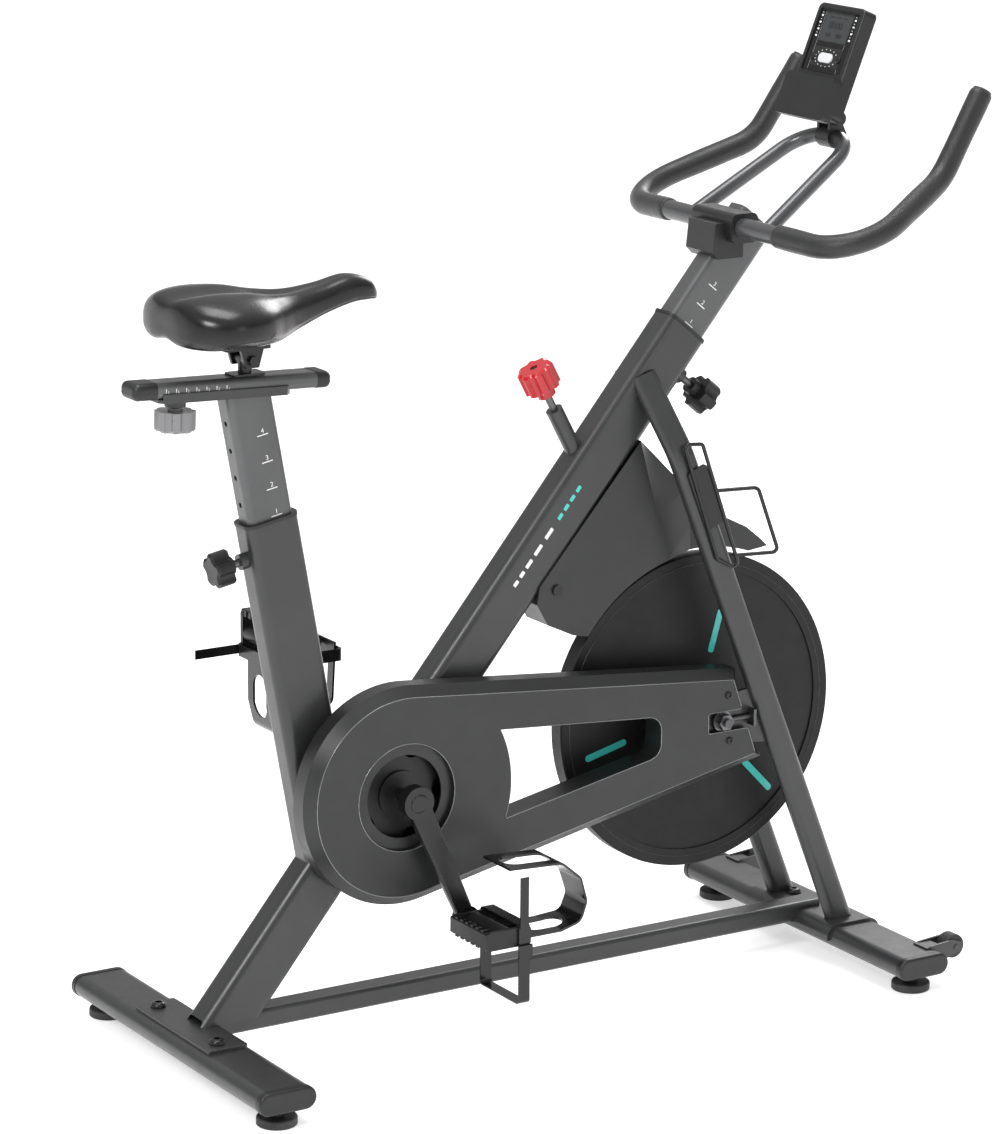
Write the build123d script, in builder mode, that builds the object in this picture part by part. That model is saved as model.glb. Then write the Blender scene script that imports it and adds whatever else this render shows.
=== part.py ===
from build123d import *
import os
from math import sin, cos, tan, radians, degrees, atan2, hypot

# Upright indoor exercise bike, millimetres.
# +X is forwards (towards the handlebar), +Y is the rider's left, +Z is up.
# The origin is on the floor, in the middle of the bike's footprint box.
os.makedirs("parts", exist_ok=True)

# ---------------------------------------------------------------- driving dimensions
crank_x = -220.0          # crank axle, forward of the origin
crank_z = 325.0           # crank axle height
crank_length = 170.0
crank_angle = 66.8        # right arm, degrees below straight forwards

main_angle = 50.5         # main tube, degrees above the floor
main_w, main_d, main_wall, main_r = 45.0, 68.0, 2.0, 12.0
main_offset = 3.0         # the tube axis passes just ahead of the crank axle
main_top = 693.0          # crank axle height to sleeve top, along the tube

seat_angle = 100.6        # seat tube, degrees from forwards
seat_w, seat_d = 44.0, 72.0
seat_ref_x, seat_ref_z = -139.4, 600.0
seat_top_z = 681.0

stab_w, stab_h = 77.0, 28.0
stab_z = 36.6
stab_half = 240.0         # half length of the steel tube
cap_reach = 251.0         # half length over the end caps
rear_stab_x = -266.0
front_stab_x = 675.7
foot_y = 221.0

base_w, base_h, base_z = 35.0, 26.0, 50.0

leg_long, leg_thick = 36.0, 20.0
leg_y = 66.0
leg_bend_x, leg_bend_z = 404.0, 714.0
leg_foot_x = 670.7
leg_top_x, leg_top_y, leg_top_z = 378.0, 17.0, 807.0

wheel_x, wheel_z = 473.7, 353.6     # flywheel axle
flywheel_r, flywheel_t = 209.0, 24.0
belt_y = -52.0
big_pulley_r, small_pulley_r = 105.0, 28.0

guard_r = 140.0
guard_inner_y, guard_outer_y = -38.0, -75.0
guard_wall = 2.5

post_w, post_d = 36.0, 61.0         # both telescoping posts
running_fit = 0.05


def fx(x):
    """Forward position measured from the crank axle, in the bike's frame."""
    return crank_x + x


# ---------------------------------------------------------------- shared helpers
main_dir = Vector(cos(radians(main_angle)), 0, sin(radians(main_angle)))
main_up = Vector(-sin(radians(main_angle)), 0, cos(radians(main_angle)))
main_ref = Vector(fx(main_offset), 0, crank_z)
seat_dir = Vector(cos(radians(seat_angle)), 0, sin(radians(seat_angle)))
seat_front = Vector(sin(radians(seat_angle)), 0, -cos(radians(seat_angle)))


def main_point(z):
    """Point of the main tube's axis at height z."""
    return main_ref + main_dir * ((z - crank_z) / main_dir.Z)


def seat_point(z):
    """Point of the seat tube's axis at height z."""
    start = Vector(fx(seat_ref_x), 0, seat_ref_z)
    return start + seat_dir * ((z - seat_ref_z) / seat_dir.Z)


def across(origin, direction):
    """Sketch plane square to a direction in the XZ plane, local x along +Y."""
    return Plane(origin=origin, x_dir=(0, 1, 0), z_dir=direction)


def side(y):
    """Sketch plane facing +Y's opposite at a given y: local x forward, local y up."""
    return Plane(origin=(0, y, 0), x_dir=(1, 0, 0), z_dir=(0, -1, 0))


def save(part, name):
    part.label = name
    export_step(part, "parts/" + name + ".step")


# ---------------------------------------------------------------- envelopes used for coping
with BuildPart() as main_env:
    with BuildSketch(across(main_point(20), main_dir)):
        RectangleRounded(main_w, main_d, main_r)
    extrude(amount=(main_top - (20 - crank_z) / main_dir.Z))

with BuildPart() as rear_stab_env:
    with BuildSketch(Plane(origin=(fx(rear_stab_x), 0, stab_z), x_dir=(1, 0, 0), z_dir=(0, 1, 0))):
        SlotOverall(stab_w, stab_h)
    extrude(amount=stab_half, both=True)

with BuildPart() as front_saddle_env:
    with BuildSketch(Plane(origin=(fx(front_stab_x), 0, stab_z), x_dir=(1, 0, 0), z_dir=(0, 1, 0))):
        SlotOverall(stab_w + 8, stab_h + 8)
    extrude(amount=stab_half, both=True)

with BuildPart() as base_env:
    with BuildSketch(Plane(origin=(fx(rear_stab_x), 0, base_z), x_dir=(0, 1, 0), z_dir=(1, 0, 0))):
        RectangleRounded(base_w, base_h, 6)
    extrude(amount=front_stab_x - rear_stab_x)

plate_top = stab_z + stab_h / 2 + 5.0
saddle_top = stab_z + stab_h / 2 + 4.0

# ---------------------------------------------------------------- main tube
bb_shell_r = 23.0
post_lock_z = 823.8       # height of the handlebar post's lock screw on the tube axis
rod_dir = Vector(0.477, 0, -0.879).normalized()
rod_point = Vector(fx(257.0), 0, 773.3)

with BuildPart() as main_tube:
    with BuildSketch(across(main_point(20), main_dir)):
        RectangleRounded(main_w, main_d, main_r)
        RectangleRounded(main_w - 2 * main_wall, main_d - 2 * main_wall, main_r - main_wall,
                         mode=Mode.SUBTRACT)
    extrude(amount=(main_top - (20 - crank_z) / main_dir.Z))
    split(bisect_by=Plane.XY.offset(plate_top), keep=Keep.TOP)
    add(base_env.part, mode=Mode.SUBTRACT)
    # crossing for the bottom bracket shell
    with BuildSketch(Plane(origin=(crank_x, 0, crank_z), x_dir=(1, 0, 0), z_dir=(0, 1, 0))):
        Circle(bb_shell_r)
    extrude(amount=60, both=True, mode=Mode.SUBTRACT)
    # the brake rod passes right through both walls
    with BuildSketch(Plane(origin=rod_point, z_dir=rod_dir)):
        Circle(6.2)
    extrude(amount=200, mode=Mode.SUBTRACT)
    # the lock screw passes the front wall
    with BuildSketch(across(main_point(post_lock_z), main_up * -1)):
        Circle(5.2)
    extrude(amount=60, mode=Mode.SUBTRACT)
save(main_tube.part, "main_tube")

# ---------------------------------------------------------------- seat tube
seat_lock_z = 640.0
with BuildPart() as seat_tube:
    with BuildSketch(across(seat_point(230), seat_dir)):
        RectangleRounded(seat_w, seat_d, main_r)
        RectangleRounded(seat_w - 2 * main_wall, seat_d - 2 * main_wall, main_r - main_wall,
                         mode=Mode.SUBTRACT)
    extrude(amount=(seat_top_z - 230) / seat_dir.Z)
    add(main_env.part, mode=Mode.SUBTRACT)
    with BuildSketch(across(seat_point(seat_lock_z), seat_front * -1)):
        Circle(5.2)
    extrude(amount=60, mode=Mode.SUBTRACT)
seat_tube_top = seat_tube.part.solids().sort_by(Axis.Z)[-1]
save(seat_tube_top, "seat_tube")

# ---------------------------------------------------------------- base tube between the stabilizers
with BuildPart() as base_tube:
    with BuildSketch(Plane(origin=(fx(rear_stab_x), 0, base_z), x_dir=(0, 1, 0), z_dir=(1, 0, 0))):
        RectangleRounded(base_w, base_h, 6)
        RectangleRounded(base_w - 4, base_h - 4, 4, mode=Mode.SUBTRACT)
    extrude(amount=front_stab_x - rear_stab_x)
    add(rear_stab_env.part, mode=Mode.SUBTRACT)
    add(front_saddle_env.part, mode=Mode.SUBTRACT)
    split(bisect_by=Plane.YZ.offset(fx(rear_stab_x + 30)), keep=Keep.TOP)
base_tube_solid = base_tube.part.solids().sort_by(SortBy.VOLUME)[-1]
save(base_tube_solid, "base_tube")


# ---------------------------------------------------------------- stabilizers
def stabilizer(x, bolt_x, bolt_y):
    with BuildPart() as tube:
        with BuildSketch(Plane(origin=(fx(x), 0, stab_z), x_dir=(1, 0, 0), z_dir=(0, 1, 0))):
            SlotOverall(stab_w, stab_h)
            SlotOverall(stab_w - 4, stab_h - 4, mode=Mode.SUBTRACT)
        extrude(amount=stab_half, both=True)
        with BuildSketch(Plane.XY.offset(stab_z)):
            with Locations((fx(bolt_x), bolt_y), (fx(bolt_x), -bolt_y)):
                Circle(4.3)
        extrude(amount=30, mode=Mode.SUBTRACT)
        with BuildSketch(Plane.XY.offset(stab_z)):
            with Locations((fx(x), foot_y), (fx(x), -foot_y)):
                Circle(4.0 + running_fit)
        extrude(amount=-30, mode=Mode.SUBTRACT)
    return tube.part


rear_bolt_x, rear_bolt_y = rear_stab_x - 3, 77.0
front_bolt_x, front_bolt_y = front_stab_x + 2, 44.0
save(stabilizer(rear_stab_x, rear_bolt_x, rear_bolt_y), "rear_stabilizer")
save(stabilizer(front_stab_x, front_bolt_x, front_bolt_y), "front_stabilizer")

# ---------------------------------------------------------------- stabilizer end caps
cap_list = []
for x in (rear_stab_x, front_stab_x):
    for hand in (1, -1):
        with BuildPart() as cap:
            with BuildSketch(Plane(origin=(fx(x), hand * stab_half, stab_z), x_dir=(1, 0, 0),
                                   z_dir=(0, hand, 0))):
                SlotOverall(stab_w + 1.4, stab_h + 1.4)
            extrude(amount=cap_reach - stab_half)
            fillet(cap.faces().sort_by(Axis.Y)[-1 if hand > 0 else 0].edges(), 4)
            with BuildSketch(Plane(origin=(fx(x), hand * stab_half, stab_z), x_dir=(1, 0, 0),
                                   z_dir=(0, -hand, 0))):
                SlotOverall(stab_w - 4.4, stab_h - 4.4)
                SlotOverall(stab_w - 10, stab_h - 10, mode=Mode.SUBTRACT)
            extrude(amount=9)
        cap_list.append(cap.part.solids()[0])
save(Compound(cap_list), "end_caps")

# ---------------------------------------- welded plates: foot plate, front saddle, dropouts
with BuildPart() as rear_plate:
    with BuildSketch(Plane.XY.offset(stab_z + stab_h / 2)):
        with Locations((fx(rear_stab_x + 2), 0)):
            RectangleRounded(55, 194, 4)
        with Locations((fx(rear_bolt_x), rear_bolt_y), (fx(rear_bolt_x), -rear_bolt_y)):
            Circle(4.3, mode=Mode.SUBTRACT)
    extrude(amount=5)
    fillet(rear_plate.faces().sort_by(Axis.Z)[-1].outer_wire().edges(), 1.2)

with BuildPart() as front_saddle:
    with BuildSketch(Plane(origin=(fx(front_stab_x), 0, stab_z), x_dir=(1, 0, 0), z_dir=(0, 1, 0))):
        SlotOverall(stab_w + 8, stab_h + 8)
        SlotOverall(stab_w, stab_h, mode=Mode.SUBTRACT)
        with Locations((0, stab_h)):
            Rectangle(stab_w + 20, stab_h * 2 - 6, mode=Mode.SUBTRACT)
    extrude(amount=94, both=True)
    with BuildSketch(Plane.XY.offset(stab_z)):
        with Locations((fx(front_bolt_x), front_bolt_y), (fx(front_bolt_x), -front_bolt_y)):
            Circle(4.3)
    extrude(amount=40, mode=Mode.SUBTRACT)
saddle_solid = front_saddle.part


def leg_path(hand, foot_z):
    """Centreline of a fork leg, from the main tube's side down past its foot."""
    top = Vector(fx(leg_top_x), hand * leg_top_y, leg_top_z)
    bend = Vector(fx(leg_bend_x), hand * leg_y, leg_bend_z)
    foot = Vector(fx(leg_foot_x), hand * leg_y, saddle_top)
    run = (foot - bend).normalized()
    end = foot + run * ((saddle_top - foot_z) / -run.Z)
    return top, bend, end


def fork_leg(hand):
    top, bend, end = leg_path(hand, saddle_top - 25)
    with BuildPart() as leg:
        with BuildLine() as path:
            FilletPolyline(top, bend, end, radius=70)
        start_dir = (bend - top).normalized()
        with BuildSketch(Plane(origin=top, x_dir=Vector(1, 0,
                                                        0.3) - start_dir * (Vector(1, 0, 0.3).dot(start_dir)),
                               z_dir=start_dir)):
            SlotOverall(leg_long, leg_thick)
            SlotOverall(leg_long - 4, leg_thick - 4, mode=Mode.SUBTRACT)
        sweep(path=path.line)
        split(bisect_by=Plane.XY.offset(saddle_top), keep=Keep.TOP)
        add(main_env.part, mode=Mode.SUBTRACT)
    return leg.part.solids().sort_by(SortBy.VOLUME)[-1]


leg_right = fork_leg(-1)
leg_left = fork_leg(1)


def leg_filled(hand):
    top, bend, end = leg_path(hand, saddle_top - 25)
    with BuildPart() as leg:
        with BuildLine() as path:
            FilletPolyline(top, bend, end, radius=70)
        start_dir = (bend - top).normalized()
        with BuildSketch(Plane(origin=top, x_dir=Vector(1, 0,
                                                        0.3) - start_dir * (Vector(1, 0, 0.3).dot(start_dir)),
                               z_dir=start_dir)):
            SlotOverall(leg_long, leg_thick)
        sweep(path=path.line)
    return leg.part


dropout_in, dropout_out = 60.0, 66.0
dropout_list = []
for hand in (1, -1):
    with BuildPart() as dropout:
        with BuildSketch(side(0)):
            with BuildLine():
                Polyline(
                    (fx(448), wheel_z - 26), (fx(448), wheel_z + 26), (fx(500), wheel_z + 34),
                    (fx(550), wheel_z + 40), (fx(550), wheel_z - 40), (fx(500), wheel_z - 34), close=True)
            make_face()
            with Locations((fx(wheel_x), wheel_z)):
                SlotOverall(28, 12.4, mode=Mode.SUBTRACT)
        extrude(amount=-dropout_out if hand > 0 else dropout_out)
        with BuildSketch(side(0)):
            Rectangle(3000, 3000)
        extrude(amount=-dropout_in if hand > 0 else dropout_in, mode=Mode.SUBTRACT)
        add(leg_filled(hand), mode=Mode.SUBTRACT)
    dropout_list.append(dropout.part.solids().sort_by(SortBy.VOLUME)[-1])

guard_stays = []
for x, z, tube_side in ((-98, 380, seat_w / 2), (-50, 262, main_w / 2), (70, 405, main_w / 2)):
    with BuildPart() as stay:
        with BuildSketch(Plane(origin=(fx(x), -tube_side, z), x_dir=(1, 0, 0), z_dir=(0, -1, 0))):
            Circle(6)
        extrude(amount=-guard_inner_y - tube_side)
    guard_stays.append(stay.part.solids()[0])
plate_solids = [rear_plate.part.solids()[0], saddle_solid.solids()[0]] + dropout_list + guard_stays
save(Compound(plate_solids), "welded_plates")
save(Compound([leg_left, leg_right]), "fork_legs")

# ---------------------------------------------------------------- bolts and cover screws


def dome_screw(plane, head_r, head_h, shank_r, shank_len):
    """Button-head screw: head above the plane, shank below it."""
    with BuildPart() as screw:
        with BuildSketch(plane):
            Circle(head_r)
        extrude(amount=head_h)
        fillet(screw.edges().filter_by(GeomType.CIRCLE).sort_by(
            lambda e: (e.center() - plane.origin).dot(plane.z_dir))[-1], head_h * 0.8)
        with BuildSketch(plane.offset(head_h)):
            RegularPolygon(head_r * 0.45, 6)
        extrude(amount=-head_h * 0.45, mode=Mode.SUBTRACT)
        with BuildSketch(plane):
            Circle(shank_r)
        extrude(amount=-shank_len)
    return screw.part.solids()[0]


bolt_list = []
for x, y, z in (
        (rear_bolt_x, rear_bolt_y, plate_top), (rear_bolt_x, -rear_bolt_y, plate_top),
        (front_bolt_x, front_bolt_y, saddle_top), (front_bolt_x, -front_bolt_y, saddle_top)):
    bolt_list.append(dome_screw(Plane(origin=(fx(x), y, z)), 10.0, 6.5, 4.0, 18.0))

# ---------------------------------------------------------------- bottom bracket
axle_r = 8.5
with BuildPart() as bb_shell:
    with BuildSketch(Plane(origin=(crank_x, 0, crank_z), x_dir=(1, 0, 0), z_dir=(0, 1, 0))):
        Circle(bb_shell_r)
        Circle(18, mode=Mode.SUBTRACT)
    extrude(amount=34, both=True)
cup_list = []
for hand in (1, -1):
    with BuildPart() as cup:
        with BuildSketch(Plane(origin=(crank_x, hand * 20, crank_z), x_dir=(1, 0, 0), z_dir=(0, hand, 0))):
            Circle(18)
            Circle(axle_r + running_fit, mode=Mode.SUBTRACT)
        extrude(amount=14)
        with BuildSketch(Plane(origin=(crank_x, hand * 34, crank_z), x_dir=(1, 0, 0), z_dir=(0, hand, 0))):
            RegularPolygon(20, 12)
            Circle(axle_r + running_fit, mode=Mode.SUBTRACT)
        extrude(amount=3)
    cup_list.append(cup.part.solids()[0])
save(Compound([bb_shell.part.solids()[0]] + cup_list), "bottom_bracket")

# ---------------------------------------- crank axle with pedal spindles, and the arms
arm_in, arm_thick = 88.0, 17.0
pedal_in = 97.0
pedal_mid, pedal_half = 164.0, 43.0
spindle_r = 6.0


def crank_end(hand):
    """Pedal spindle position of the arm on one side."""
    a = radians(crank_angle)
    flip = 1 if hand < 0 else -1
    return fx(flip * crank_length * cos(a)), crank_z - flip * crank_length * sin(a)


with BuildPart() as crank_axle:
    with BuildSketch(Plane(origin=(crank_x, 0, crank_z), x_dir=(1, 0, 0), z_dir=(0, 1, 0))):
        Circle(axle_r)
    extrude(amount=64, both=True)
    with BuildSketch(Plane(origin=(crank_x, 0, crank_z), x_dir=(1, 0, 0), z_dir=(0, 1, 0))):
        RectangleRounded(11.6, 11.6, 1.5)
    extrude(amount=arm_in + arm_thick - 3, both=True)
spindle_list = []
for hand in (1, -1):
    ex, ez = crank_end(hand)
    with BuildPart() as spindle:
        with BuildSketch(Plane(origin=(ex, hand * (pedal_in + 1), ez), x_dir=(1, 0, 0), z_dir=(0, hand, 0))):
            Circle(spindle_r)
        extrude(amount=pedal_mid + pedal_half - 6 - pedal_in)
        with BuildSketch(Plane(origin=(ex, hand * 113.4, ez), x_dir=(1, 0, 0), z_dir=(0, hand, 0))):
            RegularPolygon(8.6, 6)
        extrude(amount=4)
    spindle_list.append(spindle.part.solids()[0])
dust_caps = []
for hand in (1, -1):
    with BuildPart() as dust_cap:
        with BuildSketch(Plane(origin=(crank_x, hand * (arm_in + arm_thick - 3), crank_z), x_dir=(1, 0, 0),
                               z_dir=(0, hand, 0))):
            Circle(11.9)
        extrude(amount=4.5)
        fillet(dust_cap.faces().sort_by(Axis.Y)[-1 if hand > 0 else 0].edges(), 2)
    dust_caps.append(dust_cap.part.solids()[0])
save(Compound([crank_axle.part.solids()[0]] + spindle_list + dust_caps), "crank_axle")

arm_list = []
for hand in (1, -1):
    ex, ez = crank_end(hand)
    along = Vector(ex - crank_x, 0, ez - crank_z).normalized()
    with BuildPart() as arm:
        with BuildSketch(Plane(origin=(crank_x, hand * arm_in, crank_z), x_dir=(1, 0, 0),
                               z_dir=(0, hand, 0))):
            Circle(21)
        extrude(amount=arm_thick)
        with BuildSketch(Plane(origin=(ex, hand * pedal_in, ez), x_dir=(1, 0, 0), z_dir=(0, hand, 0))):
            Circle(15)
        extrude(amount=16)
        # blade: stands square to the arm, tapering from boss to eye and bowing outwards
        with BuildSketch(Plane(origin=Vector(crank_x, hand * (arm_in + arm_thick / 2), crank_z) + along * 14,
                               x_dir=(0, 1, 0), z_dir=along)):
            RectangleRounded(arm_thick - 2, 31, 4)
        with BuildSketch(Plane(origin=Vector(ex, hand * (pedal_in + 8), ez) - along * 9,
                               x_dir=(0, 1, 0), z_dir=along)):
            RectangleRounded(13, 23, 4)
        loft()
        with BuildSketch(Plane(origin=(crank_x, 0, crank_z), x_dir=(1, 0, 0), z_dir=(0, 1, 0))):
            RectangleRounded(11.6, 11.6, 1.5)
        extrude(amount=arm_in + arm_thick - 3, both=True, mode=Mode.SUBTRACT)
        with BuildSketch(Plane(origin=(ex, hand * (pedal_in + 1), ez), x_dir=(1, 0, 0), z_dir=(0, hand, 0))):
            Circle(spindle_r)
        extrude(amount=60, mode=Mode.SUBTRACT)
        # socket for the dust cap over the axle bolt
        with BuildSketch(Plane(origin=(crank_x, hand * (arm_in + arm_thick), crank_z),
                               x_dir=(1, 0, 0), z_dir=(0, hand, 0))):
            Circle(12)
        extrude(amount=-3, mode=Mode.SUBTRACT)
    arm_list.append(arm.part.solids().sort_by(SortBy.VOLUME)[-1])
save(Compound(arm_list), "crank_arms")

# ---------------------------------------------------------------- drive pulley and belt
with BuildPart() as drive_pulley:
    with BuildSketch(Plane(origin=(crank_x, belt_y - 7, crank_z), x_dir=(1, 0, 0), z_dir=(0, 1, 0))):
        Circle(big_pulley_r)
        Circle(axle_r, mode=Mode.SUBTRACT)
    extrude(amount=14)
    for face_y, dirn in ((belt_y - 7, 1), (belt_y + 7, -1)):
        with BuildSketch(Plane(origin=(crank_x, face_y, crank_z), x_dir=(1, 0, 0), z_dir=(0, dirn, 0))):
            Circle(big_pulley_r - 9)
            Circle(30, mode=Mode.SUBTRACT)
        extrude(amount=4, mode=Mode.SUBTRACT)
    with BuildSketch(Plane(origin=(crank_x, belt_y - 20, crank_z), x_dir=(1, 0, 0), z_dir=(0, 1, 0))):
        with PolarLocations(64, 5):
            Circle(17)
    extrude(amount=40, mode=Mode.SUBTRACT)
    chamfer(drive_pulley.faces().sort_by(Axis.Y)[0].outer_wire().edges(), 0.8)
save(drive_pulley.part, "drive_pulley")

belt_gap, belt_thick, belt_half = 0.4, 2.6, 5.5
centre_span = hypot(wheel_x, wheel_z - crank_z)
line_tilt = degrees(atan2(wheel_z - crank_z, wheel_x))


def belt_outline(extra):
    """Closed belt path offset outwards by extra, as a face on the current sketch."""
    with BuildSketch(Plane(origin=(crank_x, 0, crank_z),
                           x_dir=(cos(radians(line_tilt)), 0, sin(radians(line_tilt))),
                           z_dir=(0, -1, 0)), mode=Mode.PRIVATE) as sk:
        Circle(big_pulley_r + extra)
        with Locations((centre_span, 0)):
            Circle(small_pulley_r + extra)
        make_hull()
    return sk.sketch


with BuildPart() as drive_belt:
    extrude(belt_outline(belt_gap + belt_thick), amount=-belt_y + belt_half)
    extrude(belt_outline(belt_gap), amount=100, mode=Mode.SUBTRACT)
    split(bisect_by=Plane.XZ.offset(-belt_y - belt_half), keep=Keep.TOP)
belt_solid = drive_belt.part.solids()[0]
save(belt_solid, "drive_belt")

# ---------------------------------------- flywheel, its pulley and the coloured inlays
inlay_angles = (74.0, 194.0, 314.0)
inlay_near, inlay_far, inlay_w = 76.0, 175.0, 9.0
flywheel_face = flywheel_t / 2
face_recess, inlay_proud = 2.0, 0.5
inlay_seat = 1.5
hub_r, fly_axle_r = 17.0, 6.0


def wheel_plane(y, hand=1):
    """Plane on the wheel's axis at a given y, looking outwards on that side."""
    return Plane(origin=(fx(wheel_x), y, wheel_z), x_dir=(1, 0, 0), z_dir=(0, hand, 0))


def inlay(y_from, thickness, angle):
    """One radial bar starting at depth y_from on the right-hand face."""
    a = radians(angle)
    mid = (inlay_near + inlay_far) / 2
    centre = (fx(wheel_x) + mid * cos(a), -y_from, wheel_z + mid * sin(a))
    with BuildPart() as bar:
        with BuildSketch(Plane(origin=centre, x_dir=(cos(a), 0, sin(a)), z_dir=(0, -1, 0))):
            SlotOverall(inlay_far - inlay_near, inlay_w)
        extrude(amount=thickness)
    return bar.part.solids()[0]


inlay_base = flywheel_face - face_recess - inlay_seat
inlay_list = [inlay(inlay_base, inlay_seat + inlay_proud, a) for a in inlay_angles]
with BuildPart() as flywheel:
    with BuildSketch(wheel_plane(-flywheel_face)):
        Circle(flywheel_r)
        Circle(hub_r, mode=Mode.SUBTRACT)
    extrude(amount=flywheel_t)
    chamfer(flywheel.edges().filter_by(GeomType.CIRCLE).sort_by(SortBy.RADIUS)[-2:], 1.5)
    for hand in (1, -1):
        with BuildSketch(wheel_plane(hand * flywheel_face, hand)):
            Circle(flywheel_r - 22)
            Circle(44, mode=Mode.SUBTRACT)
        extrude(amount=-face_recess, mode=Mode.SUBTRACT)
    for bar in inlay_list:
        add(bar, mode=Mode.SUBTRACT)
save(flywheel.part, "flywheel")
save(Compound(inlay_list), "flywheel_inlays")

with BuildPart() as flywheel_pulley:
    with BuildSketch(wheel_plane(-57.5)):
        Circle(hub_r)
        Circle(fly_axle_r + running_fit, mode=Mode.SUBTRACT)
    extrude(amount=115)
    with BuildSketch(wheel_plane(belt_y - 5.5)):
        Circle(small_pulley_r)
        Circle(hub_r - 1, mode=Mode.SUBTRACT)
    extrude(amount=12)
    with BuildSketch(wheel_plane(flywheel_face)):
        Circle(36)
        Circle(hub_r - 1, mode=Mode.SUBTRACT)
    extrude(amount=5)
save(flywheel_pulley.part, "flywheel_pulley")

# ---------------------------------------- fixed flywheel axle, nuts and belt adjusters
tug_y = dropout_out + 4.0
tug_x = 519.0             # adjuster tab on the dropout, ahead of the axle
fly_nuts = []
with BuildPart() as fly_axle:
    with BuildSketch(wheel_plane(-88)):
        Circle(fly_axle_r)
    extrude(amount=176)
    chamfer(fly_axle.edges().filter_by(GeomType.CIRCLE), 1)
for hand in (1, -1):
    forward = Plane(origin=(fx(wheel_x + 10), hand * tug_y, wheel_z), x_dir=(0, 1, 0), z_dir=(1, 0, 0))
    with BuildPart() as eye_bolt:
        with BuildSketch(wheel_plane(hand * (dropout_out + 0.5), hand)):
            Circle(14)
            Circle(fly_axle_r, mode=Mode.SUBTRACT)
        extrude(amount=5.5)
        with BuildSketch(forward):
            Circle(3)
        extrude(amount=38)
        with BuildSketch(wheel_plane(hand * dropout_out, hand)):
            Circle(fly_axle_r)
        extrude(amount=40, mode=Mode.SUBTRACT)
    with BuildPart() as nut:
        with BuildSketch(wheel_plane(hand * (dropout_out + 6), hand)):
            RegularPolygon(11, 6)
            Circle(fly_axle_r, mode=Mode.SUBTRACT)
        extrude(amount=10)
    with BuildPart() as tab:
        with BuildSketch(Plane(origin=(fx(tug_x - 2), hand * (dropout_out + 7), wheel_z), x_dir=(0, 1, 0),
                               z_dir=(1, 0, 0))):
            Rectangle(14, 22)
            with Locations((hand * (tug_y - dropout_out - 7), 0)):
                Circle(3.2, mode=Mode.SUBTRACT)
        extrude(amount=4)
    with BuildPart() as tug_nut:
        with BuildSketch(Plane(origin=(fx(tug_x + 2), hand * tug_y, wheel_z), x_dir=(0, 1, 0),
                               z_dir=(1, 0, 0))):
            RegularPolygon(3.9, 6)
            Circle(3, mode=Mode.SUBTRACT)
        extrude(amount=3.5)
        add(leg_filled(hand), mode=Mode.SUBTRACT)
    fly_nuts += [eye_bolt.part.solids()[0], nut.part.solids()[0], tab.part.solids()[0],
                 tug_nut.part.solids()[0]]
save(Compound([fly_axle.part.solids()[0]] + fly_nuts), "flywheel_axle")

# ---------------------------------------------------------------- belt guard: outer cover and backing plate
top_slope, bottom_slope = 5.3, 11.8
guard_top_x, guard_bottom_x = 497.0, 541.0
ring_r, ring_hole_r = 68.7, 53.0


def guard_face(y, extra=0.0, run_on=0.0):
    """Guard outline at depth y, offset outwards by extra, its front end pushed forwards by run_on."""
    r = guard_r + extra
    ta, ba = radians(top_slope), radians(bottom_slope)
    top_touch = (r * sin(ta), crank_z + r * cos(ta))
    bottom_touch = (r * sin(ba), crank_z - r * cos(ba))
    top_end_x = guard_top_x + run_on + extra
    bottom_end_x = guard_bottom_x + run_on + extra
    top_end_z = top_touch[1] - (top_end_x - top_touch[0]) * tan(ta)
    bottom_end_z = bottom_touch[1] + (bottom_end_x - bottom_touch[0]) * tan(ba)
    with BuildSketch(side(y), mode=Mode.PRIVATE) as sk:
        with BuildLine():
            Line((fx(top_touch[0]), top_touch[1]), (fx(top_end_x), top_end_z))
            Line((fx(top_end_x), top_end_z), (fx(bottom_end_x), bottom_end_z))
            Line((fx(bottom_end_x), bottom_end_z), (fx(bottom_touch[0]), bottom_touch[1]))
            ThreePointArc((fx(bottom_touch[0]), bottom_touch[1]), (fx(-r), crank_z),
                          (fx(top_touch[0]), top_touch[1]))
        make_face()
    return sk.sketch


def window_face(y, extra=0.0):
    """The long opening between the belt's two runs."""
    with BuildSketch(side(y), mode=Mode.PRIVATE) as sk:
        with BuildLine():
            Polyline(
                (fx(100), 395.5 + extra), (fx(377 + extra), 374.2 + extra), (fx(377 + extra), 322.4 - extra),
                (fx(100), 266.6 - extra), close=True)
        make_face()
        fillet(sk.vertices().group_by(Axis.X)[-1], 20 + extra)
        with Locations((crank_x, crank_z)):
            Circle(151 - extra, mode=Mode.SUBTRACT)
    return sk.sketch


def guard_block(y_near, y_far, extra, bevel, run_on=0.0):
    """Solid guard shape between two depths with its outer rim bevelled."""
    with BuildPart() as block:
        extrude(guard_face(y_far, extra, run_on), amount=y_far - y_near)
        rim = block.faces().sort_by(Axis.Y)[0].outer_wire().edges()
        chamfer(rim, bevel)
    return block.part


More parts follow.
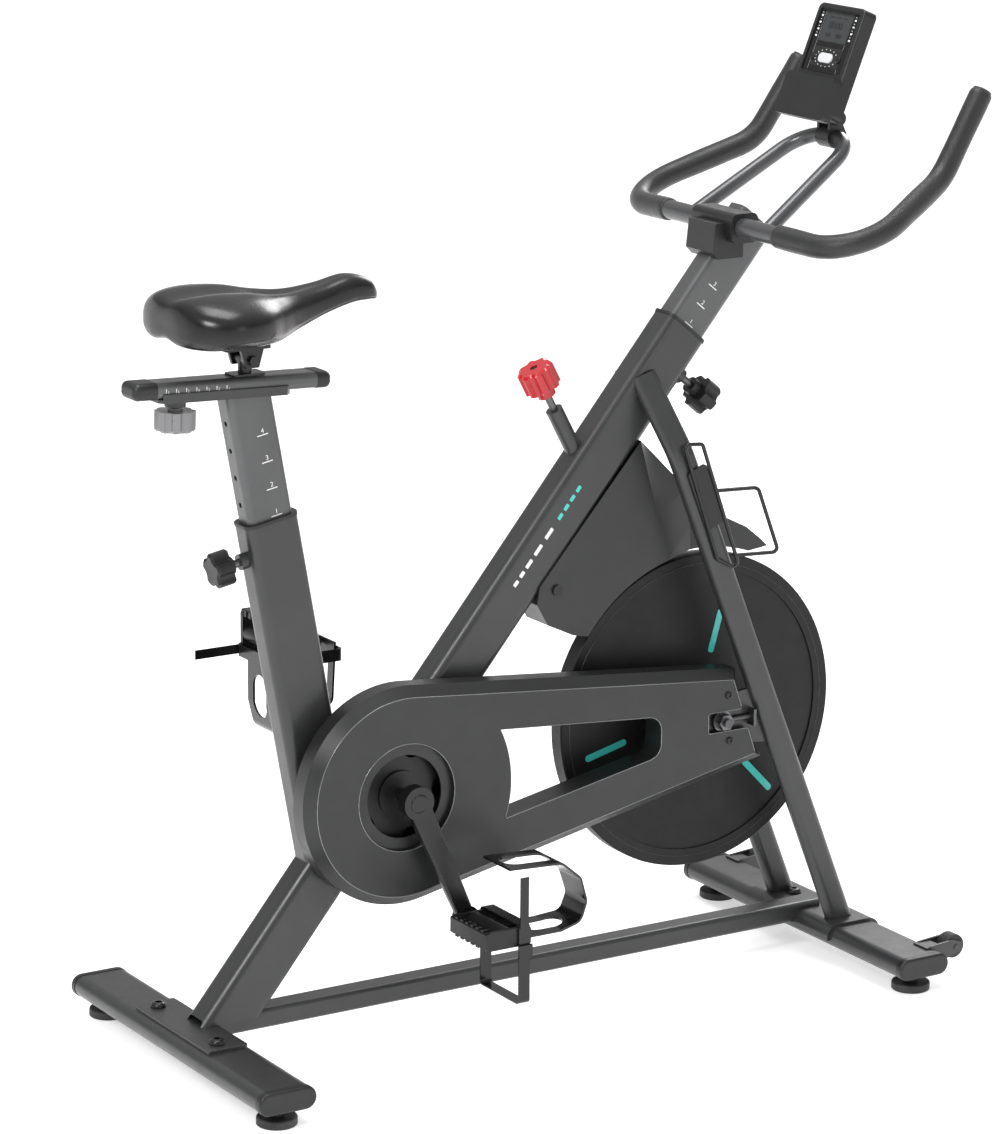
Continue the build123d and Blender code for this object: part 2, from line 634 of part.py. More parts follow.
rim_bevel = 13.0
with BuildPart() as guard_cover:
    add(guard_block(guard_outer_y, guard_inner_y - 3, 0, rim_bevel))
    add(guard_block(guard_outer_y + guard_wall, guard_inner_y + 20, -guard_wall, rim_bevel, 60),
        mode=Mode.SUBTRACT)
    # sunken ring round the crank
    with BuildSketch(Plane(origin=(crank_x, guard_outer_y, crank_z), x_dir=(1, 0, 0), z_dir=(0, 1, 0))):
        Circle(ring_r + guard_wall)
        Circle(ring_hole_r, mode=Mode.SUBTRACT)
    extrude(amount=9)
    with BuildSketch(Plane(origin=(crank_x, guard_outer_y, crank_z), x_dir=(1, 0, 0), z_dir=(0, 1, 0))):
        Circle(ring_r)
    extrude(amount=6.5, mode=Mode.SUBTRACT)
    with BuildSketch(Plane(origin=(crank_x, guard_outer_y, crank_z), x_dir=(1, 0, 0), z_dir=(0, 1, 0))):
        Circle(ring_hole_r)
    extrude(amount=12, mode=Mode.SUBTRACT)
    extrude(window_face(guard_inner_y - 3, guard_wall), amount=guard_inner_y - 3 - guard_outer_y)
    extrude(window_face(guard_inner_y + 20), amount=80, mode=Mode.SUBTRACT)
    # open-ended slot round the flywheel axle
    with BuildSketch(side(guard_inner_y + 20)):
        with Locations((fx(wheel_x + 60), wheel_z)):
            Rectangle(168, 27)
    extrude(amount=80, mode=Mode.SUBTRACT)
    with BuildSketch(side(guard_inner_y)):
        with Locations((fx(480), 388), (fx(483), 327)):
            Circle(2.6)
    extrude(amount=60, mode=Mode.SUBTRACT)
save(guard_cover.part.solids().sort_by(SortBy.VOLUME)[-1], "belt_guard_cover")

with BuildPart() as guard_backing:
    extrude(guard_face(guard_inner_y), amount=3)
    extrude(window_face(guard_inner_y + 20), amount=80, mode=Mode.SUBTRACT)
    with BuildSketch(side(guard_inner_y + 20)):
        with Locations((crank_x, crank_z)):
            Circle(27)
        with Locations((fx(wheel_x + 60), wheel_z)):
            Rectangle(180, 44)
    extrude(amount=80, mode=Mode.SUBTRACT)
save(guard_backing.part.solids().sort_by(SortBy.VOLUME)[-1], "belt_guard_backing")

# ---------------------------------------------------------------- plastic sleeves at the tops of both tubes
sleeve_length, sleeve_lip = 34.0, 4.0


def tube_sleeve(top, direction, outer_w, outer_d):
    with BuildPart() as sleeve:
        with BuildSketch(across(top, direction)):
            RectangleRounded(outer_w - 2 * main_wall, outer_d - 2 * main_wall, main_r - main_wall)
        extrude(amount=-sleeve_length)
        with BuildSketch(across(top, direction)):
            RectangleRounded(outer_w + 2, outer_d + 2, main_r + 1)
        extrude(amount=sleeve_lip)
        with BuildSketch(across(top - direction * (sleeve_length + 1), direction)):
            RectangleRounded(post_w + 2 * running_fit, post_d + 2 * running_fit, post_r + running_fit)
        extrude(amount=sleeve_length + sleeve_lip + 2, mode=Mode.SUBTRACT)
    return sleeve.part.solids()[0]


post_r = 9.0
main_tube_top = main_ref + main_dir * main_top
seat_sleeve = tube_sleeve(seat_point(seat_top_z), seat_dir, seat_w, seat_d)
bar_sleeve = tube_sleeve(main_tube_top, main_dir, main_w, main_d)
save(Compound([seat_sleeve, bar_sleeve]), "tube_bushings")

# ---------------------------------------- threaded bosses for the two lock screws and the brake rod
lock_pin_r, rod_r = 5.0, 5.0
boss_list = []
for origin, direction, length, radius in (
        (main_point(post_lock_z) - main_up * (main_d / 2 - 1), main_up * -1, 11.0, 10.0),
        (seat_point(seat_lock_z) - seat_front * (seat_d / 2 - 1), seat_front * -1, 11.0, 10.0),
        (rod_point, rod_dir, 75.0, 11.0)):
    with BuildPart() as boss:
        with BuildSketch(Plane(origin=origin, z_dir=direction)):
            Circle(radius)
            Circle(lock_pin_r + running_fit, mode=Mode.SUBTRACT)
        extrude(amount=length)
        if origin == rod_point:
            add(main_env.part, mode=Mode.SUBTRACT)
    boss_list.append(boss.part.solids().sort_by(Axis.Z)[-1])
post_boss, seat_boss, rod_boss = boss_list
with BuildPart() as trimmed_post_boss:
    add(post_boss)
    add(main_env.part, mode=Mode.SUBTRACT)
with BuildPart() as trimmed_seat_boss:
    add(seat_boss)
    with BuildSketch(across(seat_point(500), seat_dir)):
        RectangleRounded(seat_w, seat_d, main_r)
    extrude(amount=200, mode=Mode.SUBTRACT)
save(Compound([trimmed_post_boss.part.solids()[0], trimmed_seat_boss.part.solids()[0], rod_boss]),
     "tube_bosses")


# ---------------------------------------------------------------- hand knobs and lock screws
def fluted_knob(plane, radius, height, flutes, flute_r, bore_r, bore_depth, neck_r=0.0, neck_h=0.0):
    """Grip on a plane looking away from the bike, with a neck below it and a blind bore from below."""
    with BuildPart() as knob:
        with BuildSketch(plane.offset(neck_h)):
            Circle(radius)
            with PolarLocations(radius + flute_r * 0.45, flutes):
                Circle(flute_r, mode=Mode.SUBTRACT)
        extrude(amount=height)
        top = knob.faces().sort_by(lambda f: (f.center() - plane.origin).dot(plane.z_dir))[-1]
        chamfer(top.outer_wire().edges(), 3)
        if neck_h > 0:
            with BuildSketch(plane):
                Circle(neck_r)
            extrude(amount=neck_h)
        with BuildSketch(plane):
            Circle(bore_r)
        extrude(amount=bore_depth, mode=Mode.SUBTRACT)
    return knob.part.solids()[0]


def lock_pin(plane, length):
    with BuildPart() as pin:
        with BuildSketch(plane):
            Circle(lock_pin_r)
        extrude(amount=length)
        chamfer(pin.edges(), 0.8)
    return pin.part


pin_gap = 0.5             # the released screw's tip clears the post by this much
seat_pin_plane = Plane(origin=seat_point(seat_lock_z) - seat_front * (post_d / 2 + pin_gap),
                       z_dir=seat_front * -1)
save(lock_pin(seat_pin_plane, 48), "seat_lock_pin")
seat_knob_plane = Plane(origin=seat_point(seat_lock_z) - seat_front * 56, z_dir=seat_front * -1)
save(fluted_knob(seat_knob_plane, 22, 24, 5, 9, lock_pin_r + running_fit, 26, 11, 5), "seat_lock_knob")

post_pin_plane = Plane(origin=main_point(post_lock_z) - main_up * (post_d / 2 + pin_gap), z_dir=main_up * -1)
save(lock_pin(post_pin_plane, 64), "post_lock_pin")
post_knob_plane = Plane(origin=main_point(post_lock_z) - main_up * 62, z_dir=main_up * -1)
save(fluted_knob(post_knob_plane, 22, 26, 5, 9, lock_pin_r + running_fit, 36, 11, 13), "post_lock_knob")

# ---------------------------------------- brake rod with felt pad, and the tension knob
pad_gap = 6.3
rod_above, rod_below = 62.0, 247.0
with BuildPart() as brake_rod:
    with BuildSketch(Plane(origin=rod_point - rod_dir * rod_above, z_dir=rod_dir)):
        Circle(rod_r)
    extrude(amount=rod_above + rod_below)
    with BuildSketch(Plane(origin=rod_point + rod_dir * (rod_below - 4), x_dir=(0, 1, 0), z_dir=rod_dir)):
        RectangleRounded(20, 22, 2)
    extrude(amount=20)
    with BuildSketch(wheel_plane(-30)):
        Circle(flywheel_r + pad_gap)
    extrude(amount=60, mode=Mode.SUBTRACT)
save(brake_rod.part.solids().sort_by(SortBy.VOLUME)[-1], "brake_rod")
tension_plane = Plane(origin=rod_point - rod_dir * 22, z_dir=rod_dir * -1)
save(fluted_knob(tension_plane, 24, 30, 8, 6, rod_r + running_fit, 42, 12, 12), "tension_knob")

# ---------------------------------------------------------------- magnet bracket over the flywheel rim
pivot_x, pivot_z, pivot_r = 248.4, 546.1, 4.0
magnet_r = flywheel_r + 5.0
with BuildPart() as magnet_bracket:
    with BuildSketch(side(18)):
        with BuildLine():
            Polyline((fx(243), 554), (fx(250), 538), (fx(312), 490), (fx(350), 480), (fx(362.5), 546),
                     (fx(340), 560), close=True)
        make_face()
        with Locations((fx(wheel_x), wheel_z)):
            Circle(magnet_r, mode=Mode.SUBTRACT)
    extrude(amount=36)
    # keep an arched yoke: hollow between the two cheeks except over the rim
    with BuildSketch(side(13)):
        with Locations((fx(wheel_x), wheel_z)):
            Circle(magnet_r + 60)
            Circle(magnet_r + 8, mode=Mode.SUBTRACT)
    extrude(amount=26, mode=Mode.SUBTRACT)
    with BuildSketch(side(20)):
        with Locations((fx(pivot_x), pivot_z)):
            Circle(9)
    extrude(amount=40)
    with BuildSketch(side(30)):
        with Locations((fx(pivot_x), pivot_z)):
            Circle(pivot_r + running_fit)
    extrude(amount=60, mode=Mode.SUBTRACT)
save(magnet_bracket.part.solids().sort_by(SortBy.VOLUME)[-1], "magnet_bracket")

# ---------------------------------------------------------------- brake shroud over the top of the flywheel
shroud_wall, shroud_half, fender_half = 2.5, 25.0, 13.0
shroud_clear = 8.5
side_panel = [(372, 724), (223, 553), (219, 530), (235, 502), (273, 484), (340, 470), (425, 540), (419, 569),
              (399.5, 624)]
mid_panel = [(380, 722), (223, 553), (219, 530), (235, 502), (273, 484), (340, 470), (460, 540), (458, 600),
             (450, 652)]
fender_panel = [(380, 722), (455, 648), (514, 606), (546, 590), (567, 573), (580, 561), (546, 557),
                (500, 540),
                (440, 500), (370, 560)]


def inset(points, amount):
    """Polygon pulled inwards by a constant wall thickness (points run anticlockwise seen from the right)."""
    count = len(points)
    result = []
    for i in range(count):
        (ax, az), (bx, bz), (cx, cz) = points[i - 1], points[i], points[(i + 1) % count]
        first = Vector(bx - ax, bz - az, 0).normalized()
        second = Vector(cx - bx, cz - bz, 0).normalized()
        n1 = Vector(-first.Y, first.X, 0)
        n2 = Vector(-second.Y, second.X, 0)
        both = n1 + n2
        shift = both * (amount / (1 + n1.dot(n2)))
        result.append((bx + shift.X, bz + shift.Y))
    return result


def clockwise_area(points):
    total = 0.0
    for i in range(len(points)):
        total += points[i - 1][0] * points[i][1] - points[i][0] * points[i - 1][1]
    return total / 2


def panel(points, y, wall):
    amount = wall if clockwise_area(points) > 0 else -wall
    outline = inset(points, amount)
    with BuildSketch(side(y), mode=Mode.PRIVATE) as sk:
        with BuildLine():
            Polyline([(fx(x), z) for x, z in outline], close=True)
        make_face()
    return sk.sketch


def shroud_body(wall):
    half, mid = shroud_half - wall, fender_half - wall
    with BuildPart() as body:
        extrude(panel(mid_panel, mid, wall), amount=2 * mid)
        extrude(panel(fender_panel, mid, wall), amount=2 * mid)
        for hand in (1, -1):
            loft([panel(mid_panel, hand * mid, wall), panel(side_panel, hand * half, wall)], ruled=True)
    return body.part


with BuildPart() as shroud:
    add(shroud_body(0))
    add(shroud_body(shroud_wall), mode=Mode.SUBTRACT)
    add(main_env.part, mode=Mode.SUBTRACT)
    with BuildSketch(wheel_plane(-40)):
        Circle(flywheel_r + shroud_clear)
    extrude(amount=80, mode=Mode.SUBTRACT)
    with BuildSketch(side(40)):
        with Locations((fx(pivot_x), pivot_z)):
            Circle(pivot_r + 0.1)
    extrude(amount=80, mode=Mode.SUBTRACT)
    with BuildSketch(Plane(origin=rod_point, z_dir=rod_dir)):
        Circle(rod_r + 2)
    extrude(amount=180, mode=Mode.SUBTRACT)
with BuildPart() as shroud_left:
    add(shroud.part)
    split(bisect_by=Plane.XZ, keep=Keep.BOTTOM)
with BuildPart() as shroud_right:
    add(shroud.part)
    split(bisect_by=Plane.XZ, keep=Keep.TOP)
shroud_halves = [p.part.solids().sort_by(SortBy.VOLUME)[-1] for p in (shroud_left, shroud_right)]
save(Compound(shroud_halves), "brake_shroud")

# ---------------------------------------------------------------- all fixed screws
screw_list = list(bolt_list)
for x, z in ((480, 388), (483, 327)):
    screw_list.append(dome_screw(
        Plane(origin=(fx(x), guard_outer_y, z), x_dir=(1, 0, 0), z_dir=(0, -1, 0)), 5.0, 3.0, 2.5, 9.0))
with BuildPart() as pivot_screw:
    with BuildSketch(side(shroud_half)):
        with Locations((fx(pivot_x), pivot_z)):
            Circle(pivot_r)
    extrude(amount=2 * shroud_half)
    for hand in (1, -1):
        with BuildSketch(Plane(origin=(fx(pivot_x), hand * shroud_half, pivot_z), x_dir=(1, 0, 0),
                               z_dir=(0, hand, 0))):
            Circle(7)
        extrude(amount=3)
screw_list.append(pivot_screw.part.solids()[0])
save(Compound(screw_list), "fasteners")

# ---------------------------------------------------------------- levelling feet
foot_r, foot_h = 25.0, 11.0
for name, x, hand in (
        ("foot_rear_right", rear_stab_x, -1), ("foot_rear_left", rear_stab_x, 1),
        ("foot_front_right", front_stab_x, -1), ("foot_front_left", front_stab_x, 1)):
    with BuildPart() as foot:
        with BuildSketch(Plane(origin=(fx(x), hand * foot_y, 0))):
            Circle(foot_r)
        extrude(amount=foot_h)
        fillet(foot.faces().sort_by(Axis.Z)[-1].edges(), 3)
        chamfer(foot.faces().sort_by(Axis.Z)[0].edges(), 1)
        with BuildSketch(Plane(origin=(fx(x), hand * foot_y, foot_h))):
            RegularPolygon(10, 6)
        extrude(amount=8)
        with BuildSketch(Plane(origin=(fx(x), hand * foot_y, foot_h))):
            Circle(4)
        extrude(amount=30)
    save(foot.part, name)

# ---------------------------------------------------------------- transport wheels and their forks
roller_x, roller_z, roller_r, roller_w, roller_y = 743.0, 46.0, 16.0, 20.0, 215.0
with BuildPart() as front_stab_env:
    with BuildSketch(Plane(origin=(fx(front_stab_x), 0, stab_z), x_dir=(1, 0, 0), z_dir=(0, 1, 0))):
        SlotOverall(stab_w, stab_h)
    extrude(amount=stab_half, both=True)
roller_forks = []
for hand in (1, -1):
    with BuildPart() as roller_fork:
        for offset_y in (-roller_w / 2 - 4, roller_w / 2 + 1):
            with BuildSketch(side(hand * roller_y - offset_y)):
                with BuildLine():
                    Polyline((fx(700), 54), (fx(738), 57), (fx(752), 52), (fx(752), 40), (fx(738), 36),
                             (fx(700), 28),
                             close=True)
                make_face()
            extrude(amount=3)
        with BuildSketch(side(hand * roller_y + roller_w / 2 + 4)):
            with Locations((fx(706), 44)):
                Rectangle(24, 18)
        extrude(amount=roller_w + 8)
        with BuildSketch(side(hand * roller_y + roller_w / 2 + 5)):
            with Locations((fx(roller_x), roller_z)):
                Circle(4)
        extrude(amount=roller_w + 10)
        add(front_stab_env.part, mode=Mode.SUBTRACT)
    roller_forks.append(roller_fork.part.solids().sort_by(SortBy.VOLUME)[-1])
    with BuildPart() as roller:
        with BuildSketch(side(hand * roller_y + roller_w / 2)):
            with Locations((fx(roller_x), roller_z)):
                Circle(roller_r)
        extrude(amount=roller_w)
        fillet(roller.edges().filter_by(GeomType.CIRCLE), 2.5)
        with BuildSketch(side(hand * roller_y + roller_w / 2)):
            with Locations((fx(roller_x), roller_z)):
                Circle(4 + running_fit)
        extrude(amount=roller_w, mode=Mode.SUBTRACT)
    save(roller.part, "transport_wheel_left" if hand > 0 else "transport_wheel_right")
save(Compound(roller_forks), "wheel_brackets")

# ---------------------------------------------------------------- pedals, toe clips and straps
pedal_len, pedal_tall = 64.0, 28.0
clip_half = 31.0


class PedalFrame:
    """Local frame of one pedal: u towards its toe end, v up, w outwards along the spindle."""

    def __init__(self, hand, turn):
        ex, ez = crank_end(hand)
        t = radians(turn)
        self.hand = hand
        self.centre = Vector(ex, hand * pedal_mid, ez)
        self.u = Vector(cos(t), 0, -sin(t))
        self.v = Vector(sin(t), 0, cos(t))
        self.w = Vector(0, hand, 0)
        self.flip = -hand

    def across(self, w):
        """Sketch plane square to the spindle; local x is u, local y is v times flip."""
        return Plane(origin=self.centre + self.w * w, x_dir=self.u, z_dir=self.w)

    def facing_u(self, u):
        return Plane(origin=self.centre + self.u * u, x_dir=self.w, z_dir=self.u)

    def facing_v(self, v):
        return Plane(origin=self.centre + self.v * v, x_dir=self.u, z_dir=self.v)


def pedal_body(frame):
    with BuildPart() as pedal:
        with BuildSketch(frame.across(-pedal_half)):
            Circle(12)
            with Locations((27.5, 0), (-27.5, 0)):
                RectangleRounded(9, 21, 2)
        extrude(amount=2 * pedal_half)
        with BuildSketch(frame.across(-pedal_half), frame.across(pedal_half - 6)):
            RectangleRounded(pedal_len, pedal_tall - 4, 7)
        extrude(amount=6)
        with BuildSketch(frame.across(-17), frame.across(13)):
            Rectangle(50, 13)
        extrude(amount=4)
        # gripping teeth along both long edges
        for v in (10.5, -12.5):
            with BuildSketch(frame.facing_v(v)):
                for u in (27.5, -27.5):
                    with GridLocations(0, 12, 1, 6):
                        with Locations((u, 0)):
                            Rectangle(7, 6)
            extrude(amount=2)
        with BuildSketch(frame.across(-pedal_half)):
            Circle(spindle_r + running_fit)
        extrude(amount=2 * pedal_half - 4, mode=Mode.SUBTRACT)
    return pedal.part.solids().sort_by(SortBy.VOLUME)[-1]


def toe_clip(frame):
    f = frame.flip
    with BuildPart() as clip:
        with BuildSketch(frame.across(0)):
            with BuildLine() as run:
                FilletPolyline(
                    (32.05, -7 * f), (84, -7 * f), (117, -2 * f), (126, 22 * f), (116, 54 * f),
                               (84, 80 * f), (8, 84 * f),
                    radius=14)
            trace(line_width=3)
        extrude(amount=clip_half, both=True)
        with BuildSketch(frame.facing_v(60)):
            with Locations((50, 0)):
                SlotOverall(72, 34)
        extrude(amount=40, mode=Mode.SUBTRACT)
        with BuildSketch(frame.facing_v(-30)):
            with Locations((74, 0)):
                SlotOverall(56, 34)
        extrude(amount=34, mode=Mode.SUBTRACT)
        with BuildSketch(frame.facing_u(100)):
            with Locations((0, 26)):
                RectangleRounded(36, 34, 10)
        extrude(amount=40, mode=Mode.SUBTRACT)
        # the sides taper in towards the toe
        for side_w in (1, -1):
            with BuildSketch(frame.facing_v(-40)):
                with BuildLine():
                    Polyline((70, 34 * side_w), (140, 34 * side_w), (140, 22 * side_w), (120, 24 * side_w),
                             close=True)
                make_face()
            extrude(amount=140, mode=Mode.SUBTRACT)
    return clip.part.solids().sort_by(SortBy.VOLUME)[-1]


def toe_strap(frame):
    with BuildPart() as strap:
        with BuildSketch(frame.facing_u(13)):
            with Locations((0, 35.5)):
                RectangleRounded(91.4, 103.2, 6)
                RectangleRounded(88.2, 100.0, 4.4, mode=Mode.SUBTRACT)
        extrude(amount=16)
        with BuildSketch(frame.facing_u(15)):
            with Locations((44.9, -40)):
                Rectangle(1.6, 72)
        extrude(amount=12)
        with BuildSketch(frame.facing_u(11.5)):
            with Locations((47.7, 18)):
                Rectangle(4, 16)
        extrude(amount=19)
    return strap.part.solids().sort_by(SortBy.VOLUME)[-1]


right_frame, left_frame = PedalFrame(-1, 0), PedalFrame(1, 90)
for name, frame in (("right", right_frame), ("left", left_frame)):
    save(pedal_body(frame), "pedal_" + name)
    save(Compound([toe_clip(frame), toe_strap(frame)]), "toe_clip_" + name)

# ---------------------------------------------------------------- seat post and the channel on its top
slider_tilt = 2.0
slider_ref = Vector(fx(-190), 0, 852.5)
slider_fwd = Vector(cos(radians(slider_tilt)), 0, -sin(radians(slider_tilt)))
slider_up = Vector(sin(radians(slider_tilt)), 0, cos(radians(slider_tilt)))
slider_w, slider_h, slider_r = 40.0, 20.0, 8.0
slider_back, slider_front = -309.0, -93.0
channel_back, channel_front = -306.5, -129.0
channel_floor = -slider_h / 2 - 0.1
knob_x = -275.5


def slider_point(x, up=0.0):
    """Point on the slider's axis at forward position x, raised square to it."""
    return slider_ref + slider_fwd * ((x + 190) / slider_fwd.X) + slider_up * up


with BuildPart() as slider_channel:
    with BuildSketch(across(slider_point(channel_back), slider_fwd)):
        # local y points up here
        with Locations((0, channel_floor - 2)):
            Rectangle(46.8, 4)
        with Locations((21.9, channel_floor + 3.5), (-21.9, channel_floor + 3.5)):
            Rectangle(3, 7)
    extrude(amount=(channel_front - channel_back) / slider_fwd.X)
    with BuildSketch(Plane(origin=slider_point(knob_x, channel_floor - 4), x_dir=(0, 1, 0), z_dir=slider_up)):
        Circle(13)
    extrude(amount=-8)
    with BuildSketch(Plane(origin=slider_point(knob_x, channel_floor + 1), x_dir=(0, 1, 0), z_dir=slider_up)):
        Circle(4 + running_fit)
    extrude(amount=-16, mode=Mode.SUBTRACT)
    # rounded front and rear corners of the plate
    for x, grow in ((channel_back, 1), (channel_front, -1)):
        for hand in (1, -1):
            with BuildSketch(Plane(origin=slider_point(x, channel_floor + 10), x_dir=slider_fwd,
                                   z_dir=slider_up)):
                with BuildLine():
                    Polyline((-2 * grow, hand * 25), (9 * grow, hand * 25), (-2 * grow, hand * 14),
                             close=True)
                make_face()
            extrude(amount=-16, mode=Mode.SUBTRACT)
save(slider_channel.part.solids().sort_by(SortBy.VOLUME)[-1], "slider_channel")

seat_post_bottom_z = 500.0
hole_pitch = 34.0
with BuildPart() as seat_post:
    with BuildSketch(across(seat_point(seat_post_bottom_z), seat_dir)):
        RectangleRounded(post_w, post_d, post_r)
        RectangleRounded(post_w - 4, post_d - 4, post_r - 2, mode=Mode.SUBTRACT)
    extrude(amount=400)
    split(bisect_by=Plane(origin=slider_point(-180, channel_floor - 4), x_dir=(0, 1, 0), z_dir=slider_up),
          keep=Keep.BOTTOM)
    # row of index holes down the rear face
    for i in range(6):
        with BuildSketch(across(seat_point(seat_lock_z + i * hole_pitch), seat_front * -1)):
            Circle(3.4)
        extrude(amount=50, mode=Mode.SUBTRACT)
save(seat_post.part.solids().sort_by(SortBy.VOLUME)[-1], "seat_post")

with BuildPart() as slider_bolt:
    with BuildSketch(Plane(origin=slider_point(knob_x, channel_floor + 6), x_dir=(0, 1, 0), z_dir=slider_up)):
        Circle(4)
    extrude(amount=-40)
slider_knob_plane = Plane(origin=slider_point(knob_x, channel_floor - 14), x_dir=(0, 1, 0),
                          z_dir=slider_up * -1)
slider_grip = fluted_knob(slider_knob_plane, 25, 25, 8, 6, 4, 20, 9, 3)
with BuildPart() as slider_knob:
    add(slider_grip)
    add(slider_bolt.part)
save(slider_knob.part.solids().sort_by(SortBy.VOLUME)[-1], "slider_knob")

# ---------------------------------------- seat slider, its end caps and the saddle stem
barrel_x, barrel_z, barrel_r = -182.0, 882.0, 8.0
with BuildPart() as slider_tube:
    with BuildSketch(across(slider_point(slider_back), slider_fwd)):
        RectangleRounded(slider_w, slider_h, slider_r)
        RectangleRounded(slider_w - 4, slider_h - 4, slider_r - 2, mode=Mode.SUBTRACT)
    extrude(amount=(slider_front - slider_back) / slider_fwd.X)
    # long slot for the clamp bolt
    with BuildSketch(Plane(origin=slider_point(-262, -slider_h / 2 - 1), x_dir=slider_fwd, z_dir=slider_up)):
        SlotOverall(60, 11)
    extrude(amount=5, mode=Mode.SUBTRACT)
save(slider_tube.part, "slider_tube")

slider_caps = []
for x, direction, reach in ((slider_back, slider_fwd * -1, 31.0), (slider_front, slider_fwd, 20.0)):
    with BuildPart() as slider_cap:
        with BuildSketch(across(slider_point(x), direction)):
            RectangleRounded(slider_w + 1, slider_h + 1, slider_r + 0.4)
        extrude(amount=reach)
        end_face = slider_cap.faces().sort_by(lambda f: (f.center() - slider_point(x)).dot(direction))[-1]
        fillet(end_face.edges(), 8)
        with BuildSketch(across(slider_point(x), direction)):
            RectangleRounded(slider_w - 4.4, slider_h - 4.4, slider_r - 2.2)
        extrude(amount=-12)
    slider_caps.append(slider_cap.part.solids()[0])
save(Compound(slider_caps), "slider_end_caps")

with BuildPart() as slider_outline:
    with BuildSketch(across(slider_point(slider_back), slider_fwd)):
        RectangleRounded(slider_w, slider_h, slider_r)
    extrude(amount=(slider_front - slider_back) / slider_fwd.X)
with BuildPart() as saddle_stem:
    with BuildSketch(Plane(origin=(fx(barrel_x), 0, 850))):
        Circle(8.5)
    extrude(amount=barrel_z - 850)
    with BuildSketch(Plane(origin=(fx(barrel_x), 0, 855))):
        RectangleRounded(44, 26, 4)
    extrude(amount=10)
    add(slider_outline.part, mode=Mode.SUBTRACT)
    with BuildSketch(side(14)):
        with Locations((fx(barrel_x), barrel_z)):
            Circle(barrel_r)
    extrude(amount=28)
    with BuildSketch(side(20)):
        with Locations((fx(barrel_x), barrel_z)):
            Circle(3 + running_fit)
    extrude(amount=40, mode=Mode.SUBTRACT)
save(saddle_stem.part.solids().sort_by(SortBy.VOLUME)[-1], "saddle_stem")

# ---------------------------------------------------------------- saddle and its clamp
saddle_seat_z = 900.0
with BuildPart() as saddle_clamp:
    for y in (19.5, -14.5):
        with BuildSketch(side(y)):
            with BuildLine():
                Polyline((fx(barrel_x - 16), saddle_seat_z - 3), (fx(barrel_x + 16), saddle_seat_z - 3),
                         (fx(barrel_x + 9), barrel_z - 9), (fx(barrel_x - 9), barrel_z - 9), close=True)
            make_face()
        extrude(amount=5)
    with BuildSketch(Plane(origin=(fx(barrel_x - 4), 0, saddle_seat_z - 5))):
        RectangleRounded(62, 39, 5)
    extrude(amount=5)
    with BuildSketch(side(24)):
        with Locations((fx(barrel_x), barrel_z)):
            Circle(3)
    extrude(amount=48)
    for hand in (1, -1):
        with BuildSketch(Plane(origin=(fx(barrel_x), hand * 19.5, barrel_z), x_dir=(1, 0, 0),
                               z_dir=(0, hand, 0))):
            RegularPolygon(6.5, 6)
        extrude(amount=5)
save(saddle_clamp.part.solids().sort_by(SortBy.VOLUME)[-1], "saddle_clamp")

saddle_plan = [(-290, 0), (-286, 45), (-268, 82), (-236, 98), (-200, 88), (-162, 58), (-126, 34),
               (-70, 24), (-22, 19),
               (-3, 0)]
saddle_profile = [(-296, 924), (-292, 948), (-262, 966), (-180, 968), (-110, 966), (-70, 972), (-35, 972),
                  (-12, 962),
                  (-1, 944), (-60, 936), (-118, 918), (-152, saddle_seat_z), (-216, saddle_seat_z),
                  (-250, 914)]
with BuildPart() as saddle:
    with BuildSketch(Plane.XY.offset(870)):
        with BuildLine():
            Spline([(fx(x), y) for x, y in saddle_plan], tangents=[(0, 1), (0, -1)])
            Spline([(fx(x), -y) for x, y in saddle_plan], tangents=[(0, -1), (0, 1)])
        make_face()
    extrude(amount=140)
    with BuildSketch(side(150)):
        with BuildLine():
            Polyline([(fx(x), z) for x, z in saddle_profile], close=True)
        make_face()
    extrude(amount=300, mode=Mode.INTERSECT)
save(saddle.part.solids()[0], "saddle")

# ---------------------------------------------------------------- handlebar post
bar_x, bar_z, bar_r = 508.8, 988.8, 12.5
post_low, post_high = 558.0, 865.0
with BuildPart() as post_env:
    with BuildSketch(across(main_ref + main_dir * post_low, main_dir)):
        RectangleRounded(post_w, post_d, post_r)
    extrude(amount=post_high - post_low)
with BuildPart() as bar_env:
    with BuildSketch(side(140)):
        with Locations((fx(bar_x), bar_z)):
            Circle(bar_r)
    extrude(amount=280)
with BuildPart() as handlebar_post:
    with BuildSketch(across(main_ref + main_dir * post_low, main_dir)):
        RectangleRounded(post_w, post_d, post_r)
        RectangleRounded(post_w - 4, post_d - 4, post_r - 2, mode=Mode.SUBTRACT)
    extrude(amount=post_high - post_low)
    with BuildSketch(across(main_ref + main_dir * (post_high - 3), main_dir)):
        RectangleRounded(post_w, post_d, post_r)
    extrude(amount=3)
    add(bar_env.part, mode=Mode.SUBTRACT)
    for i in range(5):
        with BuildSketch(across(main_point(post_lock_z) + main_dir * (i * hole_pitch), main_up * -1)):
            Circle(3.4)
        extrude(amount=50, mode=Mode.SUBTRACT)
save(handlebar_post.part.solids().sort_by(SortBy.VOLUME)[-1], "handlebar_post")

# ---------------------------------------- handlebar: cross tube, two horns and the front loop
horn = [Vector(fx(508.8), 118, 988.8), Vector(fx(524), 270.6, 983), Vector(fx(698), 202.4, 1057),
        Vector(fx(766.5), 193, 1163)]
horn_bend = 68.0
loop_r, loop_z, loop_x = 9.5, 1088.0, 674.5


def mirrored(v):
    return Vector(v.X, -v.Y, v.Z)


